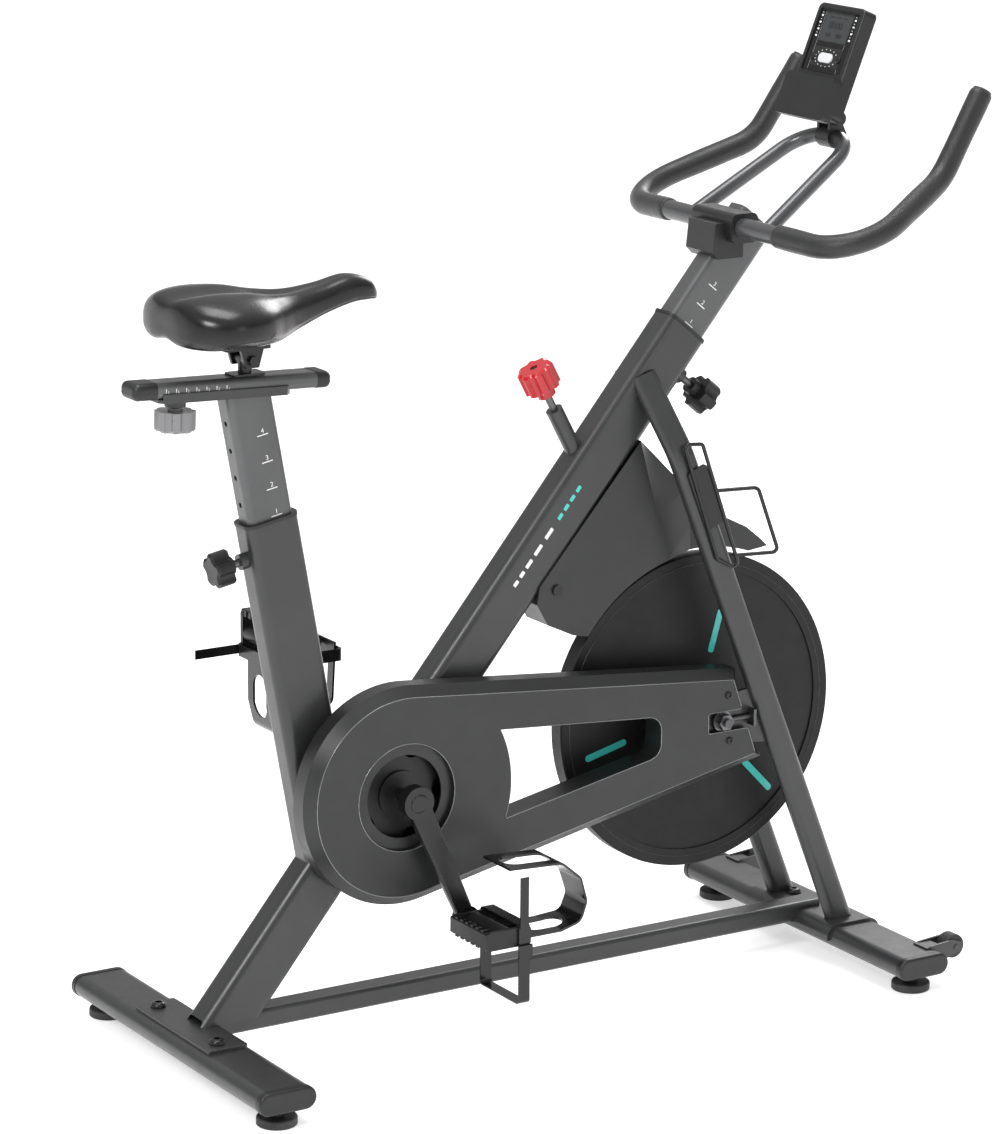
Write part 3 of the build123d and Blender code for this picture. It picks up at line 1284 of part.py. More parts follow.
full_path = [mirrored(v) for v in reversed(horn)] + horn
with BuildPart() as handlebar_tube:
    with BuildLine() as bar_path:
        FilletPolyline(*full_path, radius=horn_bend)
    start_dir = (full_path[1] - full_path[0]).normalized()
    with BuildSketch(Plane(origin=full_path[0], z_dir=start_dir)):
        Circle(bar_r)
    sweep(path=bar_path.line)
    with BuildLine() as loop_path:
        FilletPolyline(
            Vector(fx(512), 82.8, 984), Vector(fx(loop_x), 52, loop_z), Vector(fx(loop_x), -52, loop_z),
            Vector(fx(512), -82.8, 984), radius=51)
    loop_start = Vector(fx(512), 82.8, 984)
    loop_dir = (Vector(fx(loop_x), 52, loop_z) - loop_start).normalized()
    with BuildSketch(Plane(origin=loop_start, z_dir=loop_dir)):
        Circle(loop_r)
    sweep(path=loop_path.line)
save(handlebar_tube.part.solids().sort_by(SortBy.VOLUME)[-1], "handlebar_tube")

foam_r = 15.0
foam_list = []
for hand in (1, -1):
    points = horn if hand > 0 else [mirrored(v) for v in horn]
    start = Vector(points[0].X, 0, points[0].Z)
    tip_dir = (points[-1] - points[-2]).normalized()
    with BuildPart() as foam:
        with BuildLine() as foam_path:
            FilletPolyline(start, *points, radius=horn_bend)
        with BuildSketch(Plane(origin=start, x_dir=(1, 0, 0), z_dir=(0, hand, 0))):
            Circle(foam_r)
            Circle(bar_r, mode=Mode.SUBTRACT)
        sweep(path=foam_path.line)
        split(bisect_by=Plane.XZ.offset(-hand * 118), keep=Keep.BOTTOM if hand > 0 else Keep.TOP)
        with BuildSketch(Plane(origin=points[-1], z_dir=tip_dir)):
            Circle(foam_r)
        extrude(amount=4)
        with BuildSketch(Plane(origin=points[-1] + tip_dir * 4, z_dir=tip_dir)):
            Circle(foam_r - 2)
        extrude(amount=2)
    foam_list.append(foam.part.solids().sort_by(SortBy.VOLUME)[-1])
save(Compound(foam_list), "grip_foam")

# ---------------------------------------------------------------- clamp holding the handlebar on its post
with BuildPart() as handlebar_clamp:
    with BuildSketch(side(45)):
        with Locations((fx(bar_x + 3), bar_z - 1)):
            RectangleRounded(40, 38, 9)
    extrude(amount=90)
    with BuildSketch(side(30)):
        with BuildLine():
            Polyline((fx(477), 994), (fx(473), 957), (fx(482), 948), (fx(520), 948), (fx(520), 994),
                     close=True)
        make_face()
    extrude(amount=60)
    add(bar_env.part, mode=Mode.SUBTRACT)
    add(post_env.part, mode=Mode.SUBTRACT)
save(handlebar_clamp.part.solids().sort_by(SortBy.VOLUME)[-1], "handlebar_clamp")

# ---------------------------------------------------------------- console hinge bracket on the loop
tilt_x, tilt_z = 671.0, 1113.0
with BuildPart() as console_mount:
    with BuildSketch(side(14)):
        with Locations((fx(loop_x), loop_z)):
            Circle(15)
            Circle(loop_r, mode=Mode.SUBTRACT)
    extrude(amount=28)
    for y in (14, -9.5):
        with BuildSketch(side(y)):
            with BuildLine():
                Polyline((fx(loop_x - 12), loop_z + 9.5), (fx(loop_x + 12), loop_z + 9.5),
                         (fx(tilt_x + 8), tilt_z),
                         (fx(tilt_x - 8), tilt_z), close=True)
            make_face()
            with Locations((fx(tilt_x), tilt_z)):
                Circle(8)
            with Locations((fx(loop_x), loop_z)):
                Circle(loop_r, mode=Mode.SUBTRACT)
        extrude(amount=4.5)
    with BuildSketch(side(16)):
        with Locations((fx(tilt_x), tilt_z)):
            Circle(3)
    extrude(amount=36)
    with BuildSketch(side(-16)):
        with Locations((fx(tilt_x), tilt_z)):
            Circle(9)
    extrude(amount=9)
    add(handlebar_tube.part, mode=Mode.SUBTRACT)
save(console_mount.part.solids().sort_by(SortBy.VOLUME)[-1], "console_mount")

# ---------------------------------------------------------------- console, its window and buttons
console_angle = 68.0
console_ref = Vector(fx(652), 0, 1110)
console_u = Vector(cos(radians(console_angle)), 0, sin(radians(console_angle)))
console_n = Vector(-sin(radians(console_angle)), 0, cos(radians(console_angle)))
console_w, console_long, console_t = 100.0, 148.0, 20.0
button_u = 77.0


def console_plane(u, n):
    """Sketch plane on the console looking at the rider: local x to the right hand, local y up the slope."""
    return Plane(origin=console_ref + console_u * u + console_n * n, x_dir=(0, -1, 0), z_dir=console_n)


button_spots = (("button_left", 27.0, 4.5, 0.0), ("button_mode", 0.0, 6.5, 8.0),
                ("button_right", -27.0, 4.5, 0.0))
with BuildPart() as console:
    with BuildSketch(console_plane(console_long / 2, 0)):
        RectangleRounded(console_w, console_long, 9)
    extrude(amount=console_t)
    fillet(console.faces().sort_by(lambda f: f.center().dot(console_n))[-1].edges(), 3)
    with BuildSketch(console_plane(23, console_t - 2)):
        RectangleRounded(104, 56, 6)
    extrude(amount=14)
    # sunken panel with window and button holes
    with BuildSketch(console_plane(99, console_t)):
        RectangleRounded(84, 84, 4)
    extrude(amount=-1.5, mode=Mode.SUBTRACT)
    with BuildSketch(console_plane(117, console_t)):
        Rectangle(58, 36)
    extrude(amount=-4, mode=Mode.SUBTRACT)
    for name, y, radius, stretch in button_spots:
        with BuildSketch(console_plane(button_u, console_t)):
            with Locations((-y, 0)):
                if stretch > 0:
                    SlotOverall(2 * (radius + stretch) + 0.8, 2 * radius + 0.8)
                else:
                    Circle(radius + 0.4)
        extrude(amount=-7, mode=Mode.SUBTRACT)
    # hinge lug behind the lower edge
    with BuildSketch(side(9)):
        with BuildLine():
            Polyline((fx(652.5), 1111), (fx(tilt_x), tilt_z - 6.5), (fx(tilt_x), tilt_z + 6.5),
                     (fx(658.5), 1126),
                     close=True)
        make_face()
        with Locations((fx(tilt_x), tilt_z)):
            Circle(6.5)
            Circle(3 + running_fit, mode=Mode.SUBTRACT)
    extrude(amount=18)
save(console.part.solids().sort_by(SortBy.VOLUME)[-1], "console")

with BuildPart() as console_screen:
    with BuildSketch(console_plane(117, console_t - 4)):
        Rectangle(58, 36)
    extrude(amount=2.5)
save(console_screen.part, "console_screen")

for name, y, radius, stretch in button_spots:
    with BuildPart() as button:
        with BuildSketch(console_plane(button_u, console_t - 5.5)):
            with Locations((-y, 0)):
                if stretch > 0:
                    SlotOverall(2 * (radius + stretch), 2 * radius)
                else:
                    Circle(radius)
        extrude(amount=6)
        fillet(button.faces().sort_by(lambda f: f.center().dot(console_n))[-1].edges(), 1)
    save(button.part, name)

# ---------------------------------------------------------------- bottle cage on the right fork leg
wire_r = 2.5
cage_y = -(leg_y + leg_thick / 2 + wire_r + 1)


def wire(points, bend):
    """Round wire bent through the given points."""
    vectors = [Vector(fx(x), y, z) for x, y, z in points]
    with BuildPart() as rod:
        with BuildLine() as path:
            FilletPolyline(*vectors, radius=bend)
        heading = (vectors[1] - vectors[0]).normalized()
        with BuildSketch(Plane(origin=vectors[0], z_dir=heading)):
            Circle(wire_r)
        sweep(path=path.line)
    return rod.part


with BuildPart() as bottle_cage:
    add(wire([(415, cage_y, 726), (401, cage_y, 727), (455, cage_y, 573), (473, cage_y, 563)], 6))
    add(wire([(415, cage_y, 726), (429, cage_y, 725), (491, cage_y, 553), (473, cage_y, 563)], 6))
    add(wire([(452, cage_y, 662), (493, -112, 668), (527, -112, 580), (482, cage_y, 574)], 7))
    # plate and strap that fix the cage to the leg
    with BuildSketch(side(-(leg_y + leg_thick / 2))):
        with Locations(Location((fx(437), 655, 0), (0, 0, -68))):
            RectangleRounded(84, 30, 5)
    extrude(amount=3)
    add(leg_filled(-1), mode=Mode.SUBTRACT)
save(bottle_cage.part.solids().sort_by(SortBy.VOLUME)[-1], "bottle_cage")
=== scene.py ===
from math import cos, exp, pi, radians, sin, tan

import bmesh
import bpy
from mathutils import Matrix, Vector


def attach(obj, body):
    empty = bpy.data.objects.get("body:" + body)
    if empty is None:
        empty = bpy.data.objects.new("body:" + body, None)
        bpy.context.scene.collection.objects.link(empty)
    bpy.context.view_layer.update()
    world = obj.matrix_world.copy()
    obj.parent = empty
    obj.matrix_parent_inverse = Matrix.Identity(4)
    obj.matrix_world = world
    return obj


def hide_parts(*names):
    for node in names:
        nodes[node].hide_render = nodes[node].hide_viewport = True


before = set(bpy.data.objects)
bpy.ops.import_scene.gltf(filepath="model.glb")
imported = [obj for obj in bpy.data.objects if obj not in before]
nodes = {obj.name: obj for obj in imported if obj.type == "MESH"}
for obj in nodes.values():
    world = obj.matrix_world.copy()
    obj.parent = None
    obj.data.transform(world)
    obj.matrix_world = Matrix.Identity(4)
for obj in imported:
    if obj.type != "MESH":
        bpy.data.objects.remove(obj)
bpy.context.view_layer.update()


# ------------------------------------------------------------------ materials
# Noise and cell scales are in repeats per metre, and bump distances in metres.
def set_range(node, start, end, low, high):
    """Set a Map Range node: start to end goes in, low to high comes out."""
    for key, value in (("From Min", start), ("From Max", end), ("To Min", low), ("To Max", high)):
        node.inputs[key].default_value = value


class Nodes:
    """Small wrapper that adds shader nodes and links them."""

    def __init__(self, name):
        self.material = bpy.data.materials.new(name)
        self.material.use_nodes = True
        self.tree = self.material.node_tree
        self.shader = self.tree.nodes["Principled BSDF"]
        self.place = self.add("ShaderNodeTexCoord").outputs["Object"]

    def add(self, kind, **values):
        """New node; a value goes to the input of that name, or else to the setting."""
        node = self.tree.nodes.new(kind)
        for key, value in values.items():
            if key in node.inputs:
                node.inputs[key].default_value = value
            else:
                setattr(node, key, value)
        return node

    def link(self, source, target):
        self.tree.links.new(source, target)

    def noise(self, scale, detail=3.0, rough=0.55):
        node = self.add("ShaderNodeTexNoise", Scale=scale, Detail=detail, Roughness=rough)
        self.link(self.place, node.inputs["Vector"])
        return node.outputs["Fac"]

    def spread(self, source, low, high, start=0.3, end=0.7):
        node = self.add("ShaderNodeMapRange")
        set_range(node, start, end, low, high)
        self.link(source, node.inputs["Value"])
        return node.outputs["Result"]

    def blend(self, factor, first, second):
        """Mix of two colours, each a socket or a plain RGB."""
        node = self.add("ShaderNodeMix", data_type="RGBA")
        self.link(factor, node.inputs[0])
        for socket, value in ((node.inputs[6], first), (node.inputs[7], second)):
            if isinstance(value, bpy.types.NodeSocket):
                self.link(value, socket)
            else:
                socket.default_value = (*value, 1.0)
        return node.outputs[2]

    def bump(self, height, strength, distance, under=None):
        node = self.add("ShaderNodeBump", Strength=strength, Distance=distance)
        self.link(height, node.inputs["Height"])
        if under is not None:
            self.link(under, node.inputs["Normal"])
        return node.outputs["Normal"]


def shade(colour, factor):
    return tuple(min(1.0, c * factor) for c in colour)


dust_colour = (0.34, 0.33, 0.31)


def finish(name, colour, rough, metal=0.0, grain=1500.0, depth=0.0001, strength=0.25, mottle=0.14,
           coat=0.0, coat_rough=0.1, waviness=0.0, dust=0.0, specular=0.5):
    """Coloured surface with fine grain, soft colour drift, uneven gloss and a little dust in the drift."""
    n = Nodes(name)
    n.shader.inputs["Metallic"].default_value = metal
    n.shader.inputs["Coat Weight"].default_value = coat
    n.shader.inputs["Coat Roughness"].default_value = coat_rough
    n.shader.inputs["Specular IOR Level"].default_value = specular
    drift = n.noise(7.0, 4.0)
    patch = n.spread(n.noise(38.0, 5.0), 0.0, 1.0)
    tone = n.blend(n.spread(drift, 0.0, 1.0), shade(colour, 1 - mottle), shade(colour, 1 + mottle))
    speck = n.spread(n.noise(grain * 0.6, 2.0), 0.0, 0.5, 0.52, 0.75)
    tone = n.blend(speck, tone, shade(colour, 1.35))
    if dust > 0:
        film = n.spread(n.noise(16.0, 6.0, 0.7), 0.0, dust, 0.45, 0.75)
        tone = n.blend(film, tone, dust_colour)
    n.link(tone, n.shader.inputs["Base Color"])
    gloss = n.spread(patch, max(0.03, rough - 0.05), rough + 0.06, 0.0, 1.0)
    n.link(gloss, n.shader.inputs["Roughness"])
    normal = n.bump(n.noise(grain, 4.0), strength, depth)
    if waviness > 0:
        normal = n.bump(n.noise(26.0, 2.0), waviness, 0.001, normal)
    n.link(normal, n.shader.inputs["Normal"])
    return n.material


def pebbled_cover(name, colour, rough):
    """Glossy synthetic leather: pebble cells over a softer second grain."""
    n = Nodes(name)
    n.shader.inputs["Coat Weight"].default_value = 0.15
    n.shader.inputs["Coat Roughness"].default_value = 0.16
    n.shader.inputs["Specular IOR Level"].default_value = 0.35
    cells = n.add("ShaderNodeTexVoronoi", Scale=620.0, feature="DISTANCE_TO_EDGE")
    n.link(n.place, cells.inputs["Vector"])
    crease = n.spread(cells.outputs["Distance"], 0.0, 1.0, 0.0, 0.22)
    tone = n.blend(n.spread(n.noise(9.0, 4.0), 0.0, 1.0), shade(colour, 0.8), shade(colour, 1.25))
    # the valleys between the pebbles are painted darker: painted shade in the creases
    tone = n.blend(crease, shade(colour, 0.7), tone)
    n.link(tone, n.shader.inputs["Base Color"])
    n.link(n.spread(n.noise(45.0, 4.0), rough - 0.04, rough + 0.08), n.shader.inputs["Roughness"])
    fine = n.bump(crease, 0.06, 0.0002)
    n.link(n.bump(n.noise(120.0, 5.0), 0.02, 0.0012, fine), n.shader.inputs["Normal"])
    return n.material


def foam_skin(name, colour):
    """Closed-cell foam: dense pores with painted shade in their pits, matt, with a faint sheen."""
    n = Nodes(name)
    n.shader.inputs["Sheen Weight"].default_value = 0.08
    n.shader.inputs["Sheen Roughness"].default_value = 0.5
    pores = n.add("ShaderNodeTexVoronoi", Scale=1500.0)
    n.link(n.place, pores.inputs["Vector"])
    hole = n.spread(pores.outputs["Distance"], 0.0, 1.0, 0.05, 0.5)
    # the pits of the pores are painted darker: painted shade in recesses
    tone = n.blend(hole, shade(colour, 0.55), shade(colour, 1.15))
    tone = n.blend(n.spread(n.noise(22.0, 4.0), 0.0, 0.6), tone, shade(colour, 1.5))
    n.link(tone, n.shader.inputs["Base Color"])
    n.link(n.spread(n.noise(60.0, 4.0), 0.34, 0.46), n.shader.inputs["Roughness"])
    fine = n.bump(hole, 0.3, 0.0004)
    n.link(n.bump(n.noise(240.0, 4.0), 0.12, 0.0012, fine), n.shader.inputs["Normal"])
    return n.material


def brushed(name, colour, rough):
    """Turned metal with fine lines."""
    n = Nodes(name)
    n.shader.inputs["Metallic"].default_value = 1.0
    wave = n.add("ShaderNodeTexWave", Scale=400.0, wave_type="BANDS", bands_direction="Y",
                 Distortion=2.0, Detail=3.0)
    n.link(n.place, wave.inputs["Vector"])
    tone = n.blend(wave.outputs["Fac"], shade(colour, 0.75), shade(colour, 1.2))
    n.link(tone, n.shader.inputs["Base Color"])
    n.link(n.spread(n.noise(70.0), rough - 0.05, rough + 0.1), n.shader.inputs["Roughness"])
    n.link(n.bump(wave.outputs["Fac"], 0.12, 0.0002), n.shader.inputs["Normal"])
    return n.material


# painted tubes
frame_paint = finish("frame_paint", (0.024, 0.0245, 0.0255), 0.36, grain=2600, coat=0.2,
                     coat_rough=0.2, waviness=0.02)
post_paint = finish("post_paint", (0.095, 0.096, 0.098), 0.36, metal=0.5, grain=2600, coat=0.15,
                    coat_rough=0.25)
bar_paint = finish("bar_paint", (0.075, 0.076, 0.079), 0.3, metal=0.5, grain=2600, coat=0.25,
                   coat_rough=0.18)
# plastics and rubber
cap_plastic = finish("cap_plastic", (0.0085, 0.0087, 0.0092), 0.42, grain=1800, depth=0.0002,
                     strength=0.35)
guard_plastic = finish("guard_plastic", (0.011, 0.0114, 0.012), 0.38, grain=2100, depth=0.00015,
                       strength=0.3, coat=0.08, coat_rough=0.35, waviness=0.03)
moulded_black = finish("moulded_black", (0.007, 0.007, 0.0075), 0.4, grain=1700, depth=0.0002,
                       strength=0.4, specular=0.4)
gloss_black = finish("gloss_black", (0.005, 0.005, 0.0055), 0.2, grain=900, strength=0.08, coat=0.1,
                     specular=0.4)
dull_rubber = finish("dull_rubber", (0.018, 0.018, 0.019), 0.6, grain=1000, depth=0.0004, strength=0.5,
                     dust=0.1)
# iron and steel
flywheel_iron = finish("flywheel_iron", (0.003, 0.003, 0.0032), 0.48, grain=1200, depth=0.0002,
                       strength=0.4, specular=0.35)
black_metal = finish("black_metal", (0.006, 0.006, 0.0066), 0.3, coat=0.1, specular=0.4)
steel = brushed("steel", (0.42, 0.42, 0.43), 0.3)
dark_steel = brushed("dark_steel", (0.13, 0.13, 0.135), 0.34)
# accents and print
teal_gloss = finish("teal_gloss", (0.05, 0.52, 0.46), 0.3, grain=1200, strength=0.12, coat=0.3, mottle=0.08)
red_gloss = finish("red_gloss", (0.42, 0.003, 0.008), 0.22, grain=1100, strength=0.1, coat=0.3, mottle=0.1)
grey_knob = finish("grey_knob", (0.2, 0.2, 0.205), 0.32, metal=0.3, coat=0.2)
white_ink = finish("white_ink", (0.75, 0.75, 0.74), 0.5, strength=0.15, mottle=0.06)
pale_key = finish("pale_key", (0.58, 0.59, 0.6), 0.35, strength=0.15, mottle=0.08)
lcd_face = finish("lcd_face", (0.03, 0.033, 0.034), 0.3, grain=700, strength=0.05, coat=0.15, mottle=0.06)
segment_ink = finish("segment_ink", (0.012, 0.013, 0.014), 0.3, grain=900, strength=0.1)
# pale bead lines on the guard and the flywheel: their light colour is a painted highlight
highlight_bead_paint = finish("highlight_bead_paint", (0.2, 0.202, 0.206), 0.2, metal=0.6, grain=1800, coat=0.4, coat_rough=0.12)
ring_highlight_paint = finish("ring_highlight_paint", (0.05, 0.05, 0.052), 0.28, metal=0.6, grain=1800, coat=0.2)
# covers of the soft parts
saddle_cover = pebbled_cover("saddle_cover", (0.006, 0.006, 0.0064), 0.27)
grip_skin = foam_skin("grip_skin", (0.0095, 0.0097, 0.01))

finishes = {
    frame_paint: ["main_tube", "seat_tube", "base_tube", "rear_stabilizer", "front_stabilizer",
                  "welded_plates", "fork_legs", "bottom_bracket", "tube_bosses", "wheel_brackets",
                  "slider_channel"],
    post_paint: ["seat_post", "handlebar_post", "slider_tube"],
    bar_paint: ["handlebar_tube"],
    cap_plastic: ["end_caps", "slider_end_caps", "tube_bushings", "handlebar_clamp", "console_mount",
                  "console"],
    guard_plastic: ["belt_guard_cover", "belt_guard_backing", "brake_shroud"],
    flywheel_iron: ["flywheel"],
    black_metal: ["fasteners", "crank_arms", "crank_axle", "saddle_stem", "saddle_clamp",
                  "magnet_bracket", "bottle_cage"],
    dark_steel: ["flywheel_axle", "seat_lock_pin", "post_lock_pin", "brake_rod"],
    steel: ["flywheel_pulley"],
    moulded_black: ["drive_pulley", "pedal_right", "pedal_left", "seat_lock_knob", "post_lock_knob",
                    "button_left", "button_right"],
    gloss_black: ["toe_clip_right", "toe_clip_left"],
    dull_rubber: ["drive_belt", "foot_rear_right", "foot_rear_left", "foot_front_right",
                  "foot_front_left", "transport_wheel_left", "transport_wheel_right"],
    teal_gloss: ["flywheel_inlays"],
    red_gloss: ["tension_knob"],
    grey_knob: ["slider_knob"],
    pale_key: ["button_mode"],
    lcd_face: ["console_screen"],
    saddle_cover: ["saddle"],
    grip_skin: ["grip_foam"],
}
for material, names in finishes.items():
    for name in names:
        for slot in nodes[name].material_slots:
            slot.material = material

# nodes whose hard edges get a fine round that catches the light
sharp_nodes = ["main_tube", "seat_tube", "base_tube", "welded_plates", "belt_guard_cover",
               "brake_shroud", "end_caps", "crank_arms", "pedal_right", "pedal_left", "console",
               "handlebar_clamp", "slider_channel", "flywheel", "tube_bushings", "toe_clip_right",
               "toe_clip_left", "seat_post", "handlebar_post"]
for name in sharp_nodes:
    edge = nodes[name].modifiers.new("edge", "BEVEL")
    edge.width = 0.0007
    edge.segments = 2
    edge.limit_method = "ANGLE"
    edge.angle_limit = radians(35)


# ------------------------------------------------------------------ camera, floor and light
# where the photograph was taken from, as fitted to the bike's own tubes and circles
eye = Vector((-2.8325, -4.4842, 1.8974))
yaw, pitch, roll = radians(31.873), radians(14.0), radians(0.4)
ahead = Vector((sin(yaw) * cos(pitch), cos(yaw) * cos(pitch), -sin(pitch)))
level = Vector((cos(yaw), -sin(yaw), 0.0))
above = level.cross(ahead)
right = level * cos(roll) + above * sin(roll)
up = above * cos(roll) - level * sin(roll)
camera_data = bpy.data.cameras.new("camera")
camera = bpy.data.objects.new("camera", camera_data)
bpy.context.scene.collection.objects.link(camera)
turn = Matrix((right, up, -ahead)).transposed()
camera.matrix_world = Matrix.Translation(eye) @ turn.to_4x4()
camera_data.sensor_fit = "HORIZONTAL"
camera_data.sensor_width = 36.0
camera_data.lens = 156.33
camera_data.shift_x = 0.0023
camera_data.shift_y = -0.0007
camera_data.clip_end = 60
bpy.context.scene.camera = camera

# the floor reaches so far that its edge doesn't show as a step at the horizon
floor_reach = 90
floor_corners = [(-floor_reach, -floor_reach, 0), (floor_reach, -floor_reach, 0),
                 (floor_reach, floor_reach, 0), (-floor_reach, floor_reach, 0)]
floor_mesh = bpy.data.meshes.new("floor")
floor_mesh.from_pydata(floor_corners, [], [(0, 1, 2, 3)])
floor = bpy.data.objects.new("floor", floor_mesh)
bpy.context.scene.collection.objects.link(floor)
floor.location.z = -0.0005
floor_look = finish("floor_look", (0.88, 0.88, 0.88), 0.85, grain=200, strength=0.03, mottle=0.01,
                    specular=0.05)
floor_glow = floor_look.node_tree.nodes["Principled BSDF"]
floor_glow.inputs["Emission Color"].default_value = (1, 1, 1, 1)
floor_glow.inputs["Emission Strength"].default_value = 0.5
floor_mesh.materials.append(floor_look)


def lamp(name, spot, target, size, watts):
    """Square area lamp at a spot, turned to a target."""
    data = bpy.data.lights.new(name, "AREA")
    data.size = size
    data.energy = watts
    item = bpy.data.objects.new(name, data)
    bpy.context.scene.collection.objects.link(item)
    item.location = spot
    item.rotation_euler = (Vector(target) - Vector(spot)).to_track_quat("-Z", "Y").to_euler()


lamp("key", (-3.4, -1.6, 3.2), (0, 0, 0.6), 1.2, 85)
lamp("front", (1.2, -4.8, 2.0), (0, 0, 0.5), 1.8, 14)
lamp("rim", (3.0, 2.2, 2.6), (0, 0, 0.7), 1.6, 60)
lamp("top", (-0.2, 0.2, 4.2), (0, 0, 0.5), 1.8, 75)

# brightness of the room by height, from 0 at the horizon to 1 overhead: the brighter of two ramps,
# each with its start and end height and the brightness at them
horizon_ramp = (0.12, 0.2, 1.0, 0.14)  # a pale wall that darkens above the horizon
ceiling_ramp = (0.0, 0.9, 0.14, 0.9)  # a soft ceiling
world = bpy.data.worlds.new("studio")
world.use_nodes = True
sky = world.node_tree
sky_place = sky.nodes.new("ShaderNodeTexCoord")
sky_height = sky.nodes.new("ShaderNodeSeparateXYZ")
sky_brighter = sky.nodes.new("ShaderNodeMath")
sky_brighter.operation = "MAXIMUM"
sky.links.new(sky_place.outputs["Generated"], sky_height.inputs["Vector"])
for index, limits in enumerate((horizon_ramp, ceiling_ramp)):
    ramp = sky.nodes.new("ShaderNodeMapRange")
    set_range(ramp, *limits)
    sky.links.new(sky_height.outputs["Z"], ramp.inputs["Value"])
    sky.links.new(ramp.outputs["Result"], sky_brighter.inputs[index])
sky.links.new(sky_brighter.outputs["Value"], sky.nodes["Background"].inputs["Strength"])
sky.nodes["Background"].inputs["Color"].default_value = (1, 1, 1, 1)
bpy.context.scene.world = world
bpy.context.scene.view_settings.view_transform = "Standard"


# ------------------------------------------------------------------ helpers for the modelled pieces
crank_behind_middle = 220.0  # millimetres from the crank axle forward to the footprint's middle
outward = Vector((0, -1, 0))  # out of the bike's right side


def place(x, y, z):
    """Millimetres, with x measured from the crank axle, to metres in the bike's frame."""
    return Vector((x - crank_behind_middle, y, z)) / 1000.0


def settle(name, shape, material, body, smooth=True):
    """Object from vertices and faces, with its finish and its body."""
    verts, faces = shape
    mesh = bpy.data.meshes.new(name)
    mesh.from_pydata([tuple(v) for v in verts], [], faces)
    mesh.update()
    item = bpy.data.objects.new(name, mesh)
    bpy.context.scene.collection.objects.link(item)
    mesh.materials.append(material)
    for face in mesh.polygons:
        face.use_smooth = smooth
    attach(item, body)
    return item


def soften(item):
    """One level of subdivision."""
    rounder = item.modifiers.new("rounder", "SUBSURF")
    rounder.levels = rounder.render_levels = 1


def bell(u):
    return exp(-u * u)


def flow(stations, t):
    """Catmull-Rom value of a list of equal-length tuples at parameter t from 0 to 1."""
    span = len(stations) - 1
    i = min(int(t * span), span - 1)
    u = t * span - i
    rows = [stations[max(0, i - 1)], stations[i], stations[i + 1], stations[min(span, i + 2)]]
    return [0.5 * (2 * b + (c - a) * u
                   + (2 * a - 5 * b + 4 * c - d) * u * u
                   + (3 * b - a - 3 * c + d) * u ** 3)
            for a, b, c, d in zip(*rows)]


def circle(centre, across, over, radius, sides):
    return [centre + (across * cos(2 * pi * k / sides) + over * sin(2 * pi * k / sides)) * radius
            for k in range(sides)]


def ring_skin(rings, looped=False):
    """Vertices and faces that join rings of equal count, closed by end faces or back to the first ring."""
    count = len(rings[0])
    verts = [p for ring in rings for p in ring]
    faces = []
    for i in range(len(rings) if looped else len(rings) - 1):
        here, there = i * count, (i + 1) % len(rings) * count
        for k in range(count):
            m = (k + 1) % count
            faces.append((here + k, here + m, there + m, there + k))
    if not looped:
        faces.append(tuple(range(count))[::-1])
        faces.append(tuple((len(rings) - 1) * count + k for k in range(count)))
    return verts, faces


def closed_bead(points, radius, sides=6):
    """Fine bead that follows a closed line of points."""
    rings = []
    for i, p in enumerate(points):
        run = (points[(i + 1) % len(points)] - points[i - 1]).normalized()
        across = run.cross(Vector((0, 0, 1)))
        if across.length < 0.05:  # the run is nearly upright
            across = run.cross(Vector((0, 1, 0)))
        across.normalize()
        rings.append(circle(p, across, across.cross(run), radius, sides))
    return ring_skin(rings, looped=True)


def join(parts):
    """One list of vertices and faces from several."""
    verts, faces = [], []
    for v, f in parts:
        base = len(verts)
        verts += v
        faces += [tuple(i + base for i in face) for face in f]
    return verts, faces


class Sheet:
    """Flat working surface: u and v in its plane, n outwards, all in millimetres."""

    pad_sides = 24

    def __init__(self, origin, u, n):
        self.origin = origin
        self.u = u.normalized()
        self.n = n.normalized()
        self.v = self.n.cross(self.u)

    def at(self, u, v, n):
        return self.origin + (self.u * u + self.v * v + self.n * n) / 1000.0

    def pad(self, u, v, long, wide, high, corner, sink=0.15):
        """Low plate round u, v with round corners and an eased top edge; it starts sink under the surface."""
        corner = min(corner, long / 2, wide / 2)
        rings = []
        for lift, inset in ((-sink, 0.0), (high * 0.6, 0.0), (high, min(high, corner) * 0.5)):
            ring = []
            for k in range(self.pad_sides):
                a = 2 * pi * k / self.pad_sides + pi / self.pad_sides
                du = (long / 2 - corner) * (1 if cos(a) > 0 else -1) + (corner - inset) * cos(a)
                dv = (wide / 2 - corner) * (1 if sin(a) > 0 else -1) + (corner - inset) * sin(a)
                ring.append(self.at(u + du, v + dv, lift))
            rings.append(ring)
        return ring_skin(rings)

    def text(self, words, u, v, size, high):
        """Raised digits, their lower left corner at u, v."""
        curve = bpy.data.curves.new("digits", "FONT")
        curve.body = words
        curve.size = size
        curve.extrude = high
        helper = bpy.data.objects.new("digits", curve)
        bpy.context.scene.collection.objects.link(helper)
        bpy.context.view_layer.update()
        drawn = helper.evaluated_get(bpy.context.evaluated_depsgraph_get())
        shape = bpy.data.meshes.new_from_object(drawn)
        verts = [self.at(u + p.co.x, v + p.co.y, p.co.z) for p in shape.vertices]
        faces = [tuple(f.vertices) for f in shape.polygons]
        bpy.data.objects.remove(helper)
        bpy.data.meshes.remove(shape)
        bpy.data.curves.remove(curve)
        return verts, faces


